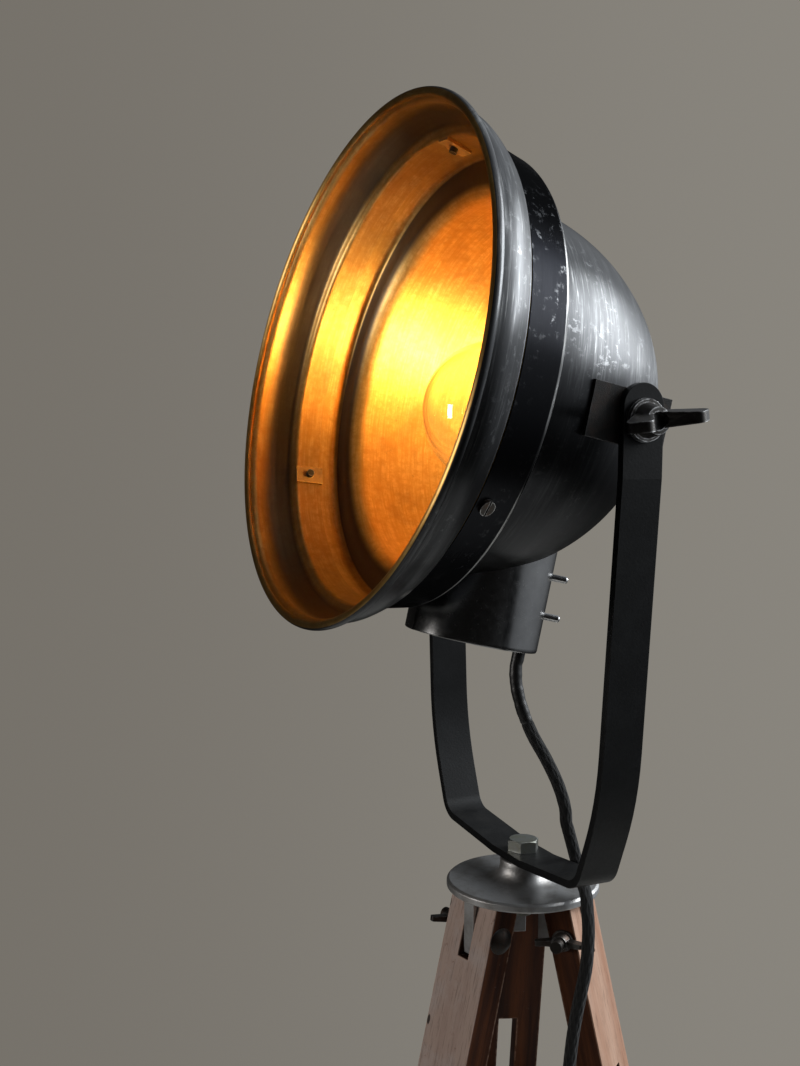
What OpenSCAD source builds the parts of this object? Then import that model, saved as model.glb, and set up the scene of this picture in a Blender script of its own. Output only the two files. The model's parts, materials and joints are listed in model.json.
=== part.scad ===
// Floodlight with a tilting spun-steel reflector on a wooden tripod.
// Millimetres. Z is up, the floor is Z = 0 and the lamp faces -Y.

/* [Reflector] */
// Radius of the rim, to the centre of its rolled bead
rim_r = 160; // [130:1:190]
// Radius of the rolled bead
bead_r = 3; // [2:0.5:5]
// Thickness of the spun sheet
sheet = 1.2; // [0.8:0.1:2]
// Depth of the bowl behind its mouth
bowl_depth = 128; // [100:1:150]
// Length of the tapered band
band_len = 26; // [18:1:40]
// How much narrower the band is at its back
band_taper = 4.5; // [2:0.5:8]
// Length of the flared bezel
bezel_len = 28; // [24:1:44]

/* [Neck and bulb] */
// Outer radius of the lampholder neck
neck_r = 42.5; // [36:0.5:48]
// Bottom of the neck, below the tilt axis
neck_drop = 147; // [135:1:165]
// Radius of the globe bulb
bulb_r = 45; // [40:1:50]
// Diameter of the cord
cord_d = 8; // [7:0.5:10]

/* [Yoke] */
// Width of the flat bar
bar_w = 27; // [24:1:40]
// Thickness of the flat bar
bar_t = 5; // [4:0.5:8]
// Height of the tilt axis above the head plate
tilt_h = 303; // [280:1:330]
// Outer radius of the upper bends
bend_r = 190; // [120:5:200]
// Outer radius of the lower corners
corner_r = 18; // [12:0.5:20]
// Height of the upper bends above the base
corner_h = 64; // [50:1:75]
// Slope of the sides between corner and bend
corner_slope = 68; // [60:1:75]
// Slope of the base towards its corners
base_slope = 5.5; // [0:0.5:8]
// Lean of the arms below their straight ends
lean = 4.3; // [2:0.1:6]
// How far the lamp looks up
tilt_up = 12.5; // [0:0.5:20]
// Radius of the tilt studs
stud_r = 5; // [4:0.5:6]

/* [Tripod head] */
// Radius of the head plate
plate_r = 50; // [46:1:60]
// Thickness of the head plate
plate_t = 6; // [5:0.5:10]
// Height of the boss under the yoke
boss_h = 14; // [10:1:20]
// Radius of the pan bolt
pan_r = 6; // [5:0.5:8]
// Thickness of the leg lugs
lug_t = 10; // [8:0.5:14]

/* [Legs] */
// Width of a leg plank
leg_w = 45; // [40:1:55]
// Thickness of an upper plank
leg_t = 18; // [15:0.5:24]
// Thickness of a lower plank
lower_t = 19; // [14:0.5:22]
// Length of an upper plank
upper_len = 810; // [700:10:850]
// How far the lower planks stand out below the upper ones
lower_out = 121; // [80:1:200]
// Angle of a leg from the vertical
splay = 13.5; // [11:0.5:16]
// Direction of the first leg
leg_turn = -81; // [-100:1:-60]
// Width of the long slot
slot_w = 13; // [11:0.5:16]
// Radius of the hinge and clamp bolts
bolt_r = 4; // [3:0.5:5]

/* [Fits] */
// Radial clearance of the turning fits
run_fit = 0.06; // [0.04:0.01:0.1]
// Gap between faces that slide on each other
face_gap = 0.1; // [0.05:0.05:0.3]

/* [Hidden] */
$fn = 96;

// Reflector, along its own axis from the tilt axis, forward positive
axis_up = 6;
band_r = rim_r - 14.5;
band_rear = band_r - band_taper;
bowl_r = rim_r - 43;
bowl_c = 58;
fillet_r = 11;
ledge_s = bowl_c + fillet_r;
band_back = ledge_s + 4;
band_front = band_back + band_len - 2.2;
ring_s = band_back + band_len;
rim_s = ring_s + bezel_len;
band_slope = atan2(band_taper, band_front - band_back);
skirt_gap = (sheet + 0.05) / cos(band_slope);
skirt_r = band_r - skirt_gap;
skirt_back = band_front - 14;
screw_s = band_front - 7;
clip_w = 12;
clip_l = 18;
function band_at(s) = band_rear + band_taper * (s - band_back) / (band_front - band_back);

// Neck and bulb, in the tilting frame
neck_s = 10;
neck_in = neck_r - sheet;
bulb_s = 27;
bulb_v = -4;
cap_top = bulb_v - bulb_r - 15;
cap_r = 13.2;
cap_len = 26;
filament_top = cap_top + 60;
support_r = 0.5;
holder_floor = cap_top - cap_len - 6;
strip_v = holder_floor - 12;
base_v = -neck_drop + 2;
grommet_x = 26;
grommet_y = 11;
cord_r = cord_d / 2;

// Yoke
arm_in = bowl_r;
arm_out = arm_in + bar_t;
straight_z = tilt_h - 33;
base_z = boss_h;
corner_z = base_z + corner_h;
corner_x = arm_out - (straight_z - corner_z) * tan(lean);
flat_x = pan_r * 2.8;
reach_x = corner_x - corner_z / tan(corner_slope) - flat_x;
low_z = (base_z + reach_x * tan(base_slope)) / (1 - tan(base_slope) / tan(corner_slope));
low_x = corner_x - (corner_z - low_z) / tan(corner_slope);
low_reach = corner_r * tan((corner_slope - base_slope) / 2);
low_cx = low_x - low_reach * cos(base_slope) - corner_r * sin(base_slope);
low_cz = low_z - low_reach * sin(base_slope) + corner_r * cos(base_slope);
high_reach = bend_r * tan((90 - lean - corner_slope) / 2);
high_cx = corner_x + high_reach * sin(lean) - bend_r * cos(lean);
high_cz = corner_z + high_reach * cos(lean) + bend_r * sin(lean);
arm_top = tilt_h + 7.5;
washer_t = 2;
washer_r = 12.5;
wing_turn = 21;

// Tilt bracket
bracket_t = 3;
bracket_out = arm_in - face_gap;

// Pan bolt
pan_washer_t = 1.6;
pan_seat = base_z + bar_t + face_gap;
pan_head_h = 7.5;
hex_r = pan_r * 1.75;

// Leg hinge, from the pan axis and below the plate's top
hinge_r = 36;
hinge_d = plate_t + 22;
leg_top = (22 - face_gap - leg_t / 2 * sin(splay)) / cos(splay);
leg_end = upper_len - leg_top;
fork_w = lug_t + 6 * face_gap;
fork_d = 18;
lug_out = hinge_r + 8.5;
lug_down = hinge_d + 14;
nut_turn = -8;
slot_top = 92;
slot_stop = 80;
slot_end = leg_end - slot_stop;
lower_x = -leg_t / 2 - 2 * face_gap - lower_t;
lower_mid = lower_x + lower_t / 2;
lower_w = leg_w - 1;
lower_top = 150;
lower_end = leg_end + lower_out;
foot_drop = 27.93;
foot_l = lower_end + foot_drop;
plate_z = hinge_d + foot_l * cos(splay) - lower_mid * sin(splay);
clamp_l = lower_top + 45;
collar_h = 34;
collar_end = leg_end - 3;
ferrule_t = 1.5;
ferrule_h = lower_out * 0.38;

// Place of the pan axis, so that the feet stand round the origin
foot_r = hinge_r + foot_l * sin(splay) + lower_mid * cos(splay);
ground = 2 * foot_r;
axis_x = -round(foot_r * (cos(leg_turn + 120) + cos(leg_turn + 240)) / 2);
axis_y = -round(foot_r * (sin(leg_turn) + sin(leg_turn + 120)) / 2);

// The coil, from the pan axis
coil_x = 150;
coil_y = -70;
coil_rise = 1.6;
coil_in = 36;
coil_pitch = cord_d + 1.2;
coil_layer = cord_d + 0.8;
coil_turns = 3;
coil_end = 105;
coil_aside = 16;

function unit(v) = v / norm(v);
function back_to_front(p) = [for (i = [len(p) - 1:-1:0]) p[i]];
function arc(cx, cy, r, a0, a1, n) =
  [for (i = [0:n]) let (a = a0 + (a1 - a0) * i / n) [cx + r * cos(a), cy + r * sin(a)]];
function tangent(p, i) = unit(p[min(i + 1, len(p) - 1)] - p[max(i - 1, 0)]);
function inset(p, t) =
  [for (i = [0:len(p) - 1]) let (d = tangent(p, i)) [max(p[i][0] - t * d[1], 0), p[i][1] + t * d[0]]];

// Outer faces of the spun pieces as radius and distance forward
bowl_curve = [for (i = [0:16])
  let (a = 90 * i / 16) [bowl_r * sin(a), bowl_c - bowl_depth * cos(a)]];
bowl_path = concat(
  [[0, bowl_c - bowl_depth], [bowl_r * sin(0.5), bowl_c - bowl_depth]],
  [for (i = [1:16]) bowl_curve[i]],
  [for (i = [1:6]) arc(bowl_r + fillet_r, bowl_c, fillet_r, 180, 90, 6)[i]],
  arc(band_rear - 4, ledge_s + 4, 4, -90, -band_slope, 5),
  [[band_r, band_front]]
);
bezel_path = concat(
  [[band_at(skirt_back) - skirt_gap, skirt_back], [skirt_r, band_front]],
  [for (i = [1:4]) arc(skirt_r + 2, band_front + 0.2, 2, 180, 90, 4)[i]],
  [
    [rim_r - 11.2, ring_s + 0.8],
    [rim_r - 9.5, ring_s + 2.4],
    [rim_r - 7.7, ring_s + 5],
    [rim_r - 5.8, ring_s + 8],
    [rim_r - 4.2, ring_s + 11],
    [rim_r - 3.1, ring_s + 14.5],
    [rim_r - 2.8, ring_s + 18],
    [rim_r - 3.1, ring_s + bezel_len - 7],
    [rim_r - 3.5, ring_s + bezel_len - 4],
    [rim_r - 2.6, ring_s + bezel_len - 2],
    [rim_r - 0.6, rim_s]
  ]
);

// Frames
module plate_frame() {
  translate([axis_x, axis_y, plate_z])
    children();
}

module tilt_frame() {
  plate_frame()
    translate([0, 0, tilt_h])
      rotate([-tilt_up, 0, 0])
        children();
}

module spun() {
  translate([0, 0, axis_up])
    rotate([90, 0, 0])
      rotate_extrude()
        children();
}

module neck_frame() {
  translate([0, -neck_s, 0])
    children();
}

module leg_frame(i) {
  plate_frame()
    rotate([0, 0, leg_turn + 120 * i])
      translate([hinge_r, 0, -hinge_d])
        rotate([0, -splay, 0])
          children();
}

module round_bar(r, from, to) {
  translate([0, 0, from])
    cylinder(r = r, h = to - from);
}

module bowl_solid() {
  spun()
    polygon(concat(bowl_path, [[0, band_front]]));
}

// Reflector
module reflector_bowl() {
  color("dimgray")
    tilt_frame()
      difference() {
        spun()
          polygon(concat(bowl_path, back_to_front(inset(bowl_path, sheet))));
        neck_frame()
          round_bar(neck_in, -neck_drop, -40);
        for (a = [90, 210, 330])
          band_place(a)
            round_bar(2.6, -12, 12);
      }
}

module band_place(a) {
  translate([0, -screw_s, axis_up])
    rotate([0, -a, 0])
      translate([band_at(screw_s), 0, 0])
        rotate([0, 0, band_slope])
          rotate([0, 90, 0])
            children();
}

module bezel_ring() {
  color("gray")
    tilt_frame()
      difference() {
        spun()
          union() {
            polygon(concat(bezel_path, back_to_front(inset(bezel_path, sheet))));
            translate([rim_r, rim_s])
              circle(r = bead_r);
          }
        for (a = [90, 210, 330])
          band_place(a)
            round_bar(2.6, -12, 12);
      }
}

module bezel_screws() {
  color("silver")
    tilt_frame()
      for (a = [90, 210, 330])
        band_place(a) {
          difference() {
            union() {
              round_bar(4.6, 0, 2.6);
              round_bar(2.5, -8, 1);
            }
            translate([-5, -0.5, 1.8])
              cube([10, 1, 2]);
          }
        }
}

module bezel_clips() {
  color("sienna")
    tilt_frame()
      for (a = [90, 210, 330])
        band_place(a)
          difference() {
            translate([-clip_w / 2, -clip_l / 2, -4.7])
              cube([clip_w, clip_l, 2]);
            round_bar(2.5, -7, 0);
          }
}

// Neck
module neck_tube() {
  color("dimgray")
    tilt_frame()
      difference() {
        neck_frame()
          round_bar(neck_r, -neck_drop, -50);
        neck_frame()
          round_bar(neck_in, -neck_drop - 1, -40);
        bowl_solid();
        pin_places()
          round_bar(2.25, 0, 60);
      }
}

module pin_places() {
  neck_frame()
    for (v = [neck_drop - 24, neck_drop - 49])
      translate([0, 0, -v])
        rotate([0, 0, 60])
          rotate([0, 90, 0])
            children();
}

module neck_pins() {
  color("silver")
    tilt_frame()
      pin_places() {
        round_bar(2.25, neck_in - 5, neck_r + 9);
        translate([0, 0, neck_r + 9])
          cylinder(r1 = 2.25, r2 = 1.2, h = 1);
      }
}

module neck_base() {
  color("dimgray")
    tilt_frame()
      difference() {
        neck_frame()
          round_bar(neck_in, base_v, base_v + 2);
        translate([grommet_x, grommet_y, 0])
          round_bar(6, base_v - 1, base_v + 3);
      }
}

module cord_grommet() {
  color("black")
    tilt_frame()
      translate([grommet_x, grommet_y, 0]) {
        round_bar(7, -neck_drop, base_v);
        round_bar(6, base_v, base_v + 2);
        round_bar(7, base_v + 2, base_v + 4);
      }
}

// Lampholder and bulb
module bulb_frame() {
  translate([0, -bulb_s, 0])
    children();
}

module holder_strip() {
  color("silver")
    tilt_frame()
      intersection() {
        neck_frame()
          round_bar(neck_in, -neck_drop, 0);
        translate([-9, -neck_s - neck_r, strip_v])
          union() {
            cube([18, 2 * neck_r, 2]);
            cube([18, 5, 14]);
            translate([0, 2 * neck_r - 5, 0])
              cube([18, 5, 14]);
          }
      }
}

module lampholder() {
  color("white")
    tilt_frame()
      bulb_frame()
        difference() {
          union() {
            round_bar(17, strip_v + 2, holder_floor);
            round_bar(20, holder_floor, cap_top - 1);
          }
          round_bar(cap_r + 0.4, holder_floor + 3, cap_top + 5);
        }
}

module bulb_glass() {
  glass_t = 0.8;
  low = acos((cap_r + 1.5) / bulb_r);
  outer = concat(arc(0, bulb_v, bulb_r, 90, -low, 24), [[cap_r + 0.2, cap_top + 3], [cap_r + 0.2, cap_top]]);
  inner = concat(
    arc(0, bulb_v, bulb_r - glass_t, 90, -low, 24),
    [[cap_r - 0.6, cap_top + 3], [cap_r - 0.6, cap_top]]
  );
  color("lightyellow", 0.4)
    tilt_frame()
      bulb_frame()
        rotate_extrude()
          polygon(concat(outer, back_to_front(inner)));
}

module bulb_cap() {
  color("goldenrod")
    tilt_frame()
      bulb_frame() {
        round_bar(cap_r, cap_top - cap_len + 4, cap_top);
        translate([0, 0, cap_top - cap_len])
          cylinder(r1 = 5, r2 = cap_r - 2, h = 4);
        round_bar(4.5, holder_floor + 3, cap_top - cap_len);
      }
}

module bulb_stem() {
  color("lightyellow", 0.4)
    tilt_frame()
      bulb_frame() {
        translate([0, 0, cap_top])
          cylinder(r1 = 9, r2 = 2.6, h = 26);
        round_bar(1.5, cap_top + 26, filament_top - support_r);
      }
}

module bulb_filament() {
  wire = 0.7;
  low_v = cap_top + 24;
  high_v = filament_top;
  color("orange")
    tilt_frame()
      bulb_frame() {
        translate([0, 0, low_v])
          rotate_extrude()
            translate([4.5, 0])
              circle(r = wire, $fn = 16);
        translate([0, 0, high_v])
          rotate_extrude()
            translate([13, 0])
              circle(r = wire, $fn = 16);
        for (a = [0:45:315])
          rotate([0, 0, a])
            translate([4.5, 0, low_v])
              rotate([0, atan2(8.5, high_v - low_v), 0])
                cylinder(r = wire, h = norm([8.5, high_v - low_v]), $fn = 16);
        for (a = [0, 90])
          rotate([0, 0, a])
            translate([-13, 0, high_v])
              rotate([0, 90, 0])
                cylinder(r = support_r, h = 26, $fn = 16);
      }
}

// Tilt fittings
module tilt_bracket() {
  difference() {
    union() {
      translate([bracket_out - bracket_t, -33, -16])
        cube([bracket_t, 53, 32]);
      rotate([0, 90, 0])
        round_bar(13, bowl_r - 30, bracket_out - 1);
    }
    bowl_solid();
    rotate([0, 90, 0])
      round_bar(stud_r, 0, arm_in);
  }
}

module tilt_bracket_right() {
  color("black")
    tilt_frame()
      tilt_bracket();
}

module tilt_bracket_left() {
  color("black")
    tilt_frame()
      mirror([1, 0, 0])
        tilt_bracket();
}

module tilt_studs() {
  color("silver")
    tilt_frame()
      for (side = [-90, 90])
        rotate([0, side, 0])
          round_bar(stud_r, bracket_out - 6, arm_out + washer_t + 8);
}

// A flat wing from the hub's middle up to its tip, thinner towards the tip
module wing(hub_r, hub_h, span, rise, wide, root_t, tip_t) {
  root_w = hub_h / 2 - 1;
  corner = wide * 0.3;
  way = atan2(rise, span - hub_r / 2);
  long = norm([span - hub_r / 2, rise]);
  translate([hub_r / 2, 0, hub_h / 2])
    rotate([0, -way, 0])
      intersection() {
        rotate([90, 0, 0])
          translate([0, 0, -root_t])
            linear_extrude(2 * root_t)
              polygon(concat(
                arc(0, 0, root_w, 90, 270, 12),
                arc(long - corner, corner - wide / 2, corner, -90, 0, 6),
                arc(long - corner, wide / 2 - corner, corner, 0, 90, 6)
              ));
        translate([0, 0, -wide])
          linear_extrude(2 * wide)
            polygon([
              [-hub_r, -root_t / 2], [long + 1, -tip_t / 2], [long + 1, tip_t / 2], [-hub_r, root_t / 2]
            ]);
      }
}

module wing_nut(bore, hub_r, hub_h, span, rise, wide, root_t, tip_t, flange_r) {
  difference() {
    union() {
      cylinder(r1 = hub_r, r2 = (hub_r + bore) / 2, h = hub_h);
      cylinder(r = flange_r, h = 2);
      for (a = [0, 180])
        rotate([0, 0, a])
          wing(hub_r, hub_h, span, rise, wide, root_t, tip_t);
    }
    translate([0, 0, -1])
      cylinder(r = bore + run_fit, h = hub_h + rise + 20);
  }
}

module tilt_nut() {
  rotate([0, 90, 0])
    translate([0, 0, arm_out + washer_t + face_gap])
      rotate([0, 0, 90 + wing_turn])
        wing_nut(stud_r, 10.5, 12, 22.5, 20, 15, 11, 6, 12);
}

module tilt_nut_right() {
  color("dimgray")
    tilt_frame()
      tilt_nut();
}

module tilt_nut_left() {
  color("dimgray")
    tilt_frame()
      mirror([1, 0, 0])
        tilt_nut();
}

module tilt_washers() {
  color("silver")
    plate_frame()
      translate([0, 0, tilt_h])
        for (side = [-90, 90])
          rotate([0, side, 0])
            difference() {
              round_bar(washer_r, arm_out, arm_out + washer_t);
              round_bar(stud_r + 2 * run_fit, 0, arm_out + 10);
            }
}

// Yoke
module yoke_half() {
  mitre = bar_t * tan(lean / 2);
  base_turn = base_slope - 90;
  side_turn = corner_slope - 90;
  polygon(concat(
    [[-0.5, base_z], [flat_x, base_z]],
    arc(low_cx, low_cz, corner_r, base_turn, side_turn, 10),
    arc(high_cx, high_cz, bend_r, side_turn, -lean, 6),
    [[arm_out, straight_z], [arm_out, arm_top], [arm_in, arm_top], [arm_in, straight_z + mitre]],
    arc(high_cx, high_cz, bend_r - bar_t, -lean, side_turn, 6),
    arc(low_cx, low_cz, corner_r - bar_t, side_turn, base_turn, 10),
    [[flat_x - bar_t * tan(base_slope / 2), base_z + bar_t], [-0.5, base_z + bar_t]]
  ));
}

module yoke() {
  color("black")
    plate_frame()
      difference() {
        union() {
          for (side = [0, 1])
            mirror([side, 0, 0]) {
              rotate([90, 0, 0])
                translate([0, 0, -bar_w / 2])
                  linear_extrude(bar_w)
                    yoke_half();
              translate([arm_in, 0, arm_top])
                rotate([0, 90, 0])
                  cylinder(r = bar_w / 2, h = bar_t);
            }
        }
        round_bar(pan_r + run_fit, 0, 40);
        translate([0, 0, tilt_h])
          for (side = [-90, 90])
            rotate([0, side, 0])
              round_bar(stud_r + run_fit, arm_in - 20, arm_out + 20);
      }
}

// Tripod head
module pan_bolt() {
  color("silver")
    plate_frame() {
      round_bar(pan_r, -plate_t - pan_r * 3, pan_seat);
      difference() {
        translate([0, 0, pan_seat])
          rotate([0, 0, 20])
            cylinder(r = hex_r, h = pan_head_h, $fn = 6);
        difference() {
          round_bar(hex_r + 5, pan_seat + 1, pan_seat + 2 * pan_head_h);
          translate([0, 0, pan_seat])
            cylinder(r1 = hex_r + 12, r2 = hex_r - 1.5, h = pan_head_h);
        }
      }
    }
}

module pan_washer() {
  color("silver")
    plate_frame()
      difference() {
        round_bar(hex_r + 1.9, -plate_t - pan_washer_t, -plate_t);
        round_bar(pan_r, -2 * plate_t, 0);
      }
}

module pan_nut() {
  color("silver")
    plate_frame()
      difference() {
        translate([0, 0, -plate_t - pan_washer_t - pan_r * 1.6])
          cylinder(r = hex_r, h = pan_r * 1.6, $fn = 6);
        round_bar(pan_r, -lug_down, 0);
      }
}

module head_plate() {
  boss_r = pan_r * 2.5;
  color("lightgray")
    plate_frame()
      difference() {
        union() {
          rotate_extrude()
            polygon(concat(
              [[0, -plate_t], [plate_r - 1, -plate_t], [plate_r, 1 - plate_t], [plate_r, -1.5], [plate_r - 1.5, 0]],
              arc(boss_r + 10, 10, 10, -90, -180, 8),
              [[boss_r, boss_h - 1], [boss_r - 1, boss_h], [0, boss_h]]
            ));
          for (i = [0:2])
            rotate([0, 0, leg_turn + 120 * i])
              translate([hex_r + 2.5, -lug_t / 2, -lug_down])
                cube([lug_out - hex_r - 2.5, lug_t, lug_down - plate_t / 2]);
        }
        round_bar(pan_r, -lug_down - 1, boss_h + 1);
        for (i = [0:2])
          rotate([0, 0, leg_turn + 120 * i])
            translate([hinge_r, 0, -hinge_d])
              rotate([90, 0, 0])
                round_bar(bolt_r + run_fit, -lug_t, lug_t);
      }
}

// Legs
module leg_upper(i) {
  color("peru")
    leg_frame(i)
      difference() {
        translate([-leg_t / 2, -leg_w / 2, -leg_end])
          cube([leg_t, leg_w, upper_len]);
        translate([-leg_t, -fork_w / 2, -fork_d])
          cube([2 * leg_t, fork_w, fork_d + leg_top + 5]);
        translate([-leg_t, -slot_w / 2, -slot_end])
          cube([2 * leg_t, slot_w, slot_end - slot_top]);
        rotate([90, 0, 0])
          round_bar(bolt_r, -leg_w, leg_w);
      }
}

module carriage_bolt(length) {
  round_bar(bolt_r, 0, length);
  intersection() {
    translate([0, 0, bolt_r * 2.6])
      sphere(r = bolt_r * 3.4);
    round_bar(bolt_r * 2.1, -bolt_r, 0);
  }
}

module leg_hinge_bolt(i) {
  color("dimgray")
    leg_frame(i)
      translate([0, leg_w / 2, 0])
        rotate([90, 0, 0])
          carriage_bolt(leg_w + 14);
}

module leg_hinge_nut(i) {
  color("dimgray")
    leg_frame(i)
      translate([0, -leg_w / 2 - face_gap, 0])
        rotate([90, 0, 0])
          rotate([0, 0, nut_turn])
            wing_nut(bolt_r, 6.2, 8, 16, 4, 5, 4.5, 3, 6.8);
}

module leg_collar(i) {
  wall = 2;
  color("dimgray")
    leg_frame(i)
      difference() {
        translate([lower_x - 3 * face_gap - wall, -leg_w / 2 - wall, -collar_end])
          cube([leg_t / 2 - lower_x + 3 * face_gap + 2 * wall, leg_w + 2 * wall, collar_h]);
        translate([lower_x - 3 * face_gap, -leg_w / 2, -collar_end - 1])
          cube([leg_t / 2 - lower_x + 3 * face_gap, leg_w, collar_h + 2]);
      }
}

module leg_lower(i) {
  color("peru")
    leg_frame(i)
      difference() {
        translate([lower_x, -lower_w / 2, -lower_end])
          cube([lower_t, lower_w, lower_end - lower_top]);
        translate([0, 0, -clamp_l])
          rotate([0, 90, 0])
            round_bar(bolt_r, lower_x - 5, 0);
      }
}

module leg_clamp_bolt(i) {
  color("dimgray")
    leg_frame(i)
      translate([lower_x, 0, -clamp_l])
        rotate([0, 90, 0])
          carriage_bolt(leg_t / 2 - lower_x + 15);
}

module leg_clamp_nut(i) {
  color("dimgray")
    leg_frame(i)
      translate([leg_t / 2 + face_gap, 0, -clamp_l])
        rotate([0, 90, 0])
          rotate([0, 0, 70])
            wing_nut(bolt_r, 7.5, 9, 19, 8, 6.5, 5.5, 3.6, slot_w / 2 + 4);
}

module leg_ferrule(i) {
  color("dimgray")
    leg_frame(i)
      difference() {
        translate([lower_x - ferrule_t, -lower_w / 2 - ferrule_t, -lower_end - 3])
          cube([lower_t + 2 * ferrule_t, lower_w + 2 * ferrule_t, ferrule_h]);
        translate([lower_x, -lower_w / 2, -lower_end])
          cube([lower_t, lower_w, ferrule_h + 5]);
      }
}

module leg_foot(i) {
  color("black")
    difference() {
      leg_frame(i)
        translate([lower_mid, 0, -foot_l - 10])
          cylinder(r1 = 11, r2 = 9, h = foot_l - lower_end + 7);
      translate([-ground, -ground, -ground])
        cube([2 * ground, 2 * ground, ground]);
    }
}

module leg_1_upper() leg_upper(0);
module leg_2_upper() leg_upper(1);
module leg_3_upper() leg_upper(2);
module leg_1_hinge_bolt() leg_hinge_bolt(0);
module leg_2_hinge_bolt() leg_hinge_bolt(1);
module leg_3_hinge_bolt() leg_hinge_bolt(2);
module leg_1_hinge_nut() leg_hinge_nut(0);
module leg_2_hinge_nut() leg_hinge_nut(1);
module leg_3_hinge_nut() leg_hinge_nut(2);
module leg_1_collar() leg_collar(0);
module leg_2_collar() leg_collar(1);
module leg_3_collar() leg_collar(2);
module leg_1_lower() leg_lower(0);
module leg_2_lower() leg_lower(1);
module leg_3_lower() leg_lower(2);
module leg_1_clamp_bolt() leg_clamp_bolt(0);
module leg_2_clamp_bolt() leg_clamp_bolt(1);
module leg_3_clamp_bolt() leg_clamp_bolt(2);
module leg_1_clamp_nut() leg_clamp_nut(0);
module leg_2_clamp_nut() leg_clamp_nut(1);
module leg_3_clamp_nut() leg_clamp_nut(2);
module leg_1_ferrule() leg_ferrule(0);
module leg_2_ferrule() leg_ferrule(1);
module leg_3_ferrule() leg_ferrule(2);
module leg_1_foot() leg_foot(0);
module leg_2_foot() leg_foot(1);
module leg_3_foot() leg_foot(2);

// Cord
// Smooth points between route points, a Catmull-Rom curve
function curve_at(p, i, t) =
  let (
    n = len(p) - 1,
    a = p[max(i - 1, 0)], b = p[i], c = p[min(i + 1, n)], d = p[min(i + 2, n)]
  )
  (2 * b + (c - a) * t + (2 * a - 5 * b + 4 * c - d) * t * t + (3 * b - a - 3 * c + d) * t * t * t) / 2;
function smooth(p, k) =
  concat([for (i = [0:len(p) - 2]) for (j = [0:k - 1]) curve_at(p, i, j / k)], [p[len(p) - 1]]);
function across(v, t) = unit(v - (v * t) * t);
function turned(p, n, i) = across(n, tangent(p, i));
function sides_of(p, start) =
  [for (i = 0, n = turned(p, start, 0); i < len(p); i = i + 1, n = turned(p, n, min(i, len(p) - 1))) n];
function ring(c, t, n, r, k) =
  [for (j = [0:k - 1]) c + r * (cos(360 * j / k) * n + sin(360 * j / k) * cross(t, n))];

module tube(p, r, k, start) {
  last = len(p) - 1;
  n = sides_of(p, start);
  points = [for (i = [0:last]) each ring(p[i], tangent(p, i), n[i], r, k)];
  walls = [for (i = [0:last - 1]) for (j = [0:k - 1])
    let (a = i * k + j, b = i * k + (j + 1) % k) each [[a, a + k, b], [b, a + k, b + k]]];
  first_end = [[for (j = [0:k - 1]) j]];
  last_end = [[for (j = [k - 1:-1:0]) last * k + j]];
  polyhedron(points = points, faces = concat(first_end, walls, last_end), convexity = 8);
}

// A point of the tilting frame, seen from the plate's top
function from_tilt(q) = [
  q[0],
  q[1] * cos(tilt_up) + q[2] * sin(tilt_up),
  tilt_h - q[1] * sin(tilt_up) + q[2] * cos(tilt_up)
];
cord_start = from_tilt([grommet_x, grommet_y, -neck_drop - 3 * face_gap]);
cord_near = from_tilt([grommet_x, grommet_y, -neck_drop - 5]);
cord_straight = from_tilt([grommet_x, grommet_y, -neck_drop - 10]);
cord_join = [33, 14, 38];
join_way = [0, 0.3, -0.95] / norm([0, 0.3, -0.95]);
upper_route = [
  cord_start, cord_near, cord_straight, [27.5, -23.5, 136], [31, -21, 121], [34, -15, 105], [36, -6, 89],
  [36, 3, 72], [34.5, 9.5, 56], cord_join - 8 * join_way, cord_join - 4 * join_way,
  cord_join - face_gap / 2 * join_way
];

// The coil's start, and the way down to it
function coil_point(r, a, h) = [coil_x + r * cos(a), coil_y + r * sin(a), h - plate_z];
coil_low = coil_rise + cord_r;
coil_out = coil_in + coil_pitch * coil_turns;
coil_from = 200;
coil_start = coil_point(coil_out, coil_from, coil_low);
coil_way = [-sin(coil_from), cos(coil_from), 0];
// The long fall keeps its share of the plate's height
route_h = 945;
function down(z) = z * plate_z / route_h;
lower_route = [
  cord_join, cord_join + 4 * join_way, cord_join + 8 * join_way, [33, 19, 22], [38, 19, 14],
  [47, 16, 9], [57, 12, 5], [65, 8, -2], [71, 5, -13], [74, 2, -32], [72, 0, -49],
  [68, -1, -68], [65, -2, -90], [61, -2, -125], [58, -1, -170], [57, 1, down(-240)],
  [60, 4, down(-330)], [65, 7, down(-420)], [70, 10, down(-520)], [73, 12, down(-620)],
  [74, 12, down(-720)], [73, 9, down(-800)], [72, 2, down(-860)],
  coil_start - 75 * coil_way + [0, 0, 34], coil_start - 40 * coil_way + [0, 0, 6],
  coil_start - 12 * coil_way, coil_start
];

module cord_upper() {
  color("black")
    plate_frame()
      tube(smooth(upper_route, 2), cord_r, 10, [1, 0, 0]);
}

module cord_lower() {
  color("black")
    plate_frame()
      tube(smooth(lower_route, 2), cord_r, 10, [1, 0, 0]);
}

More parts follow.
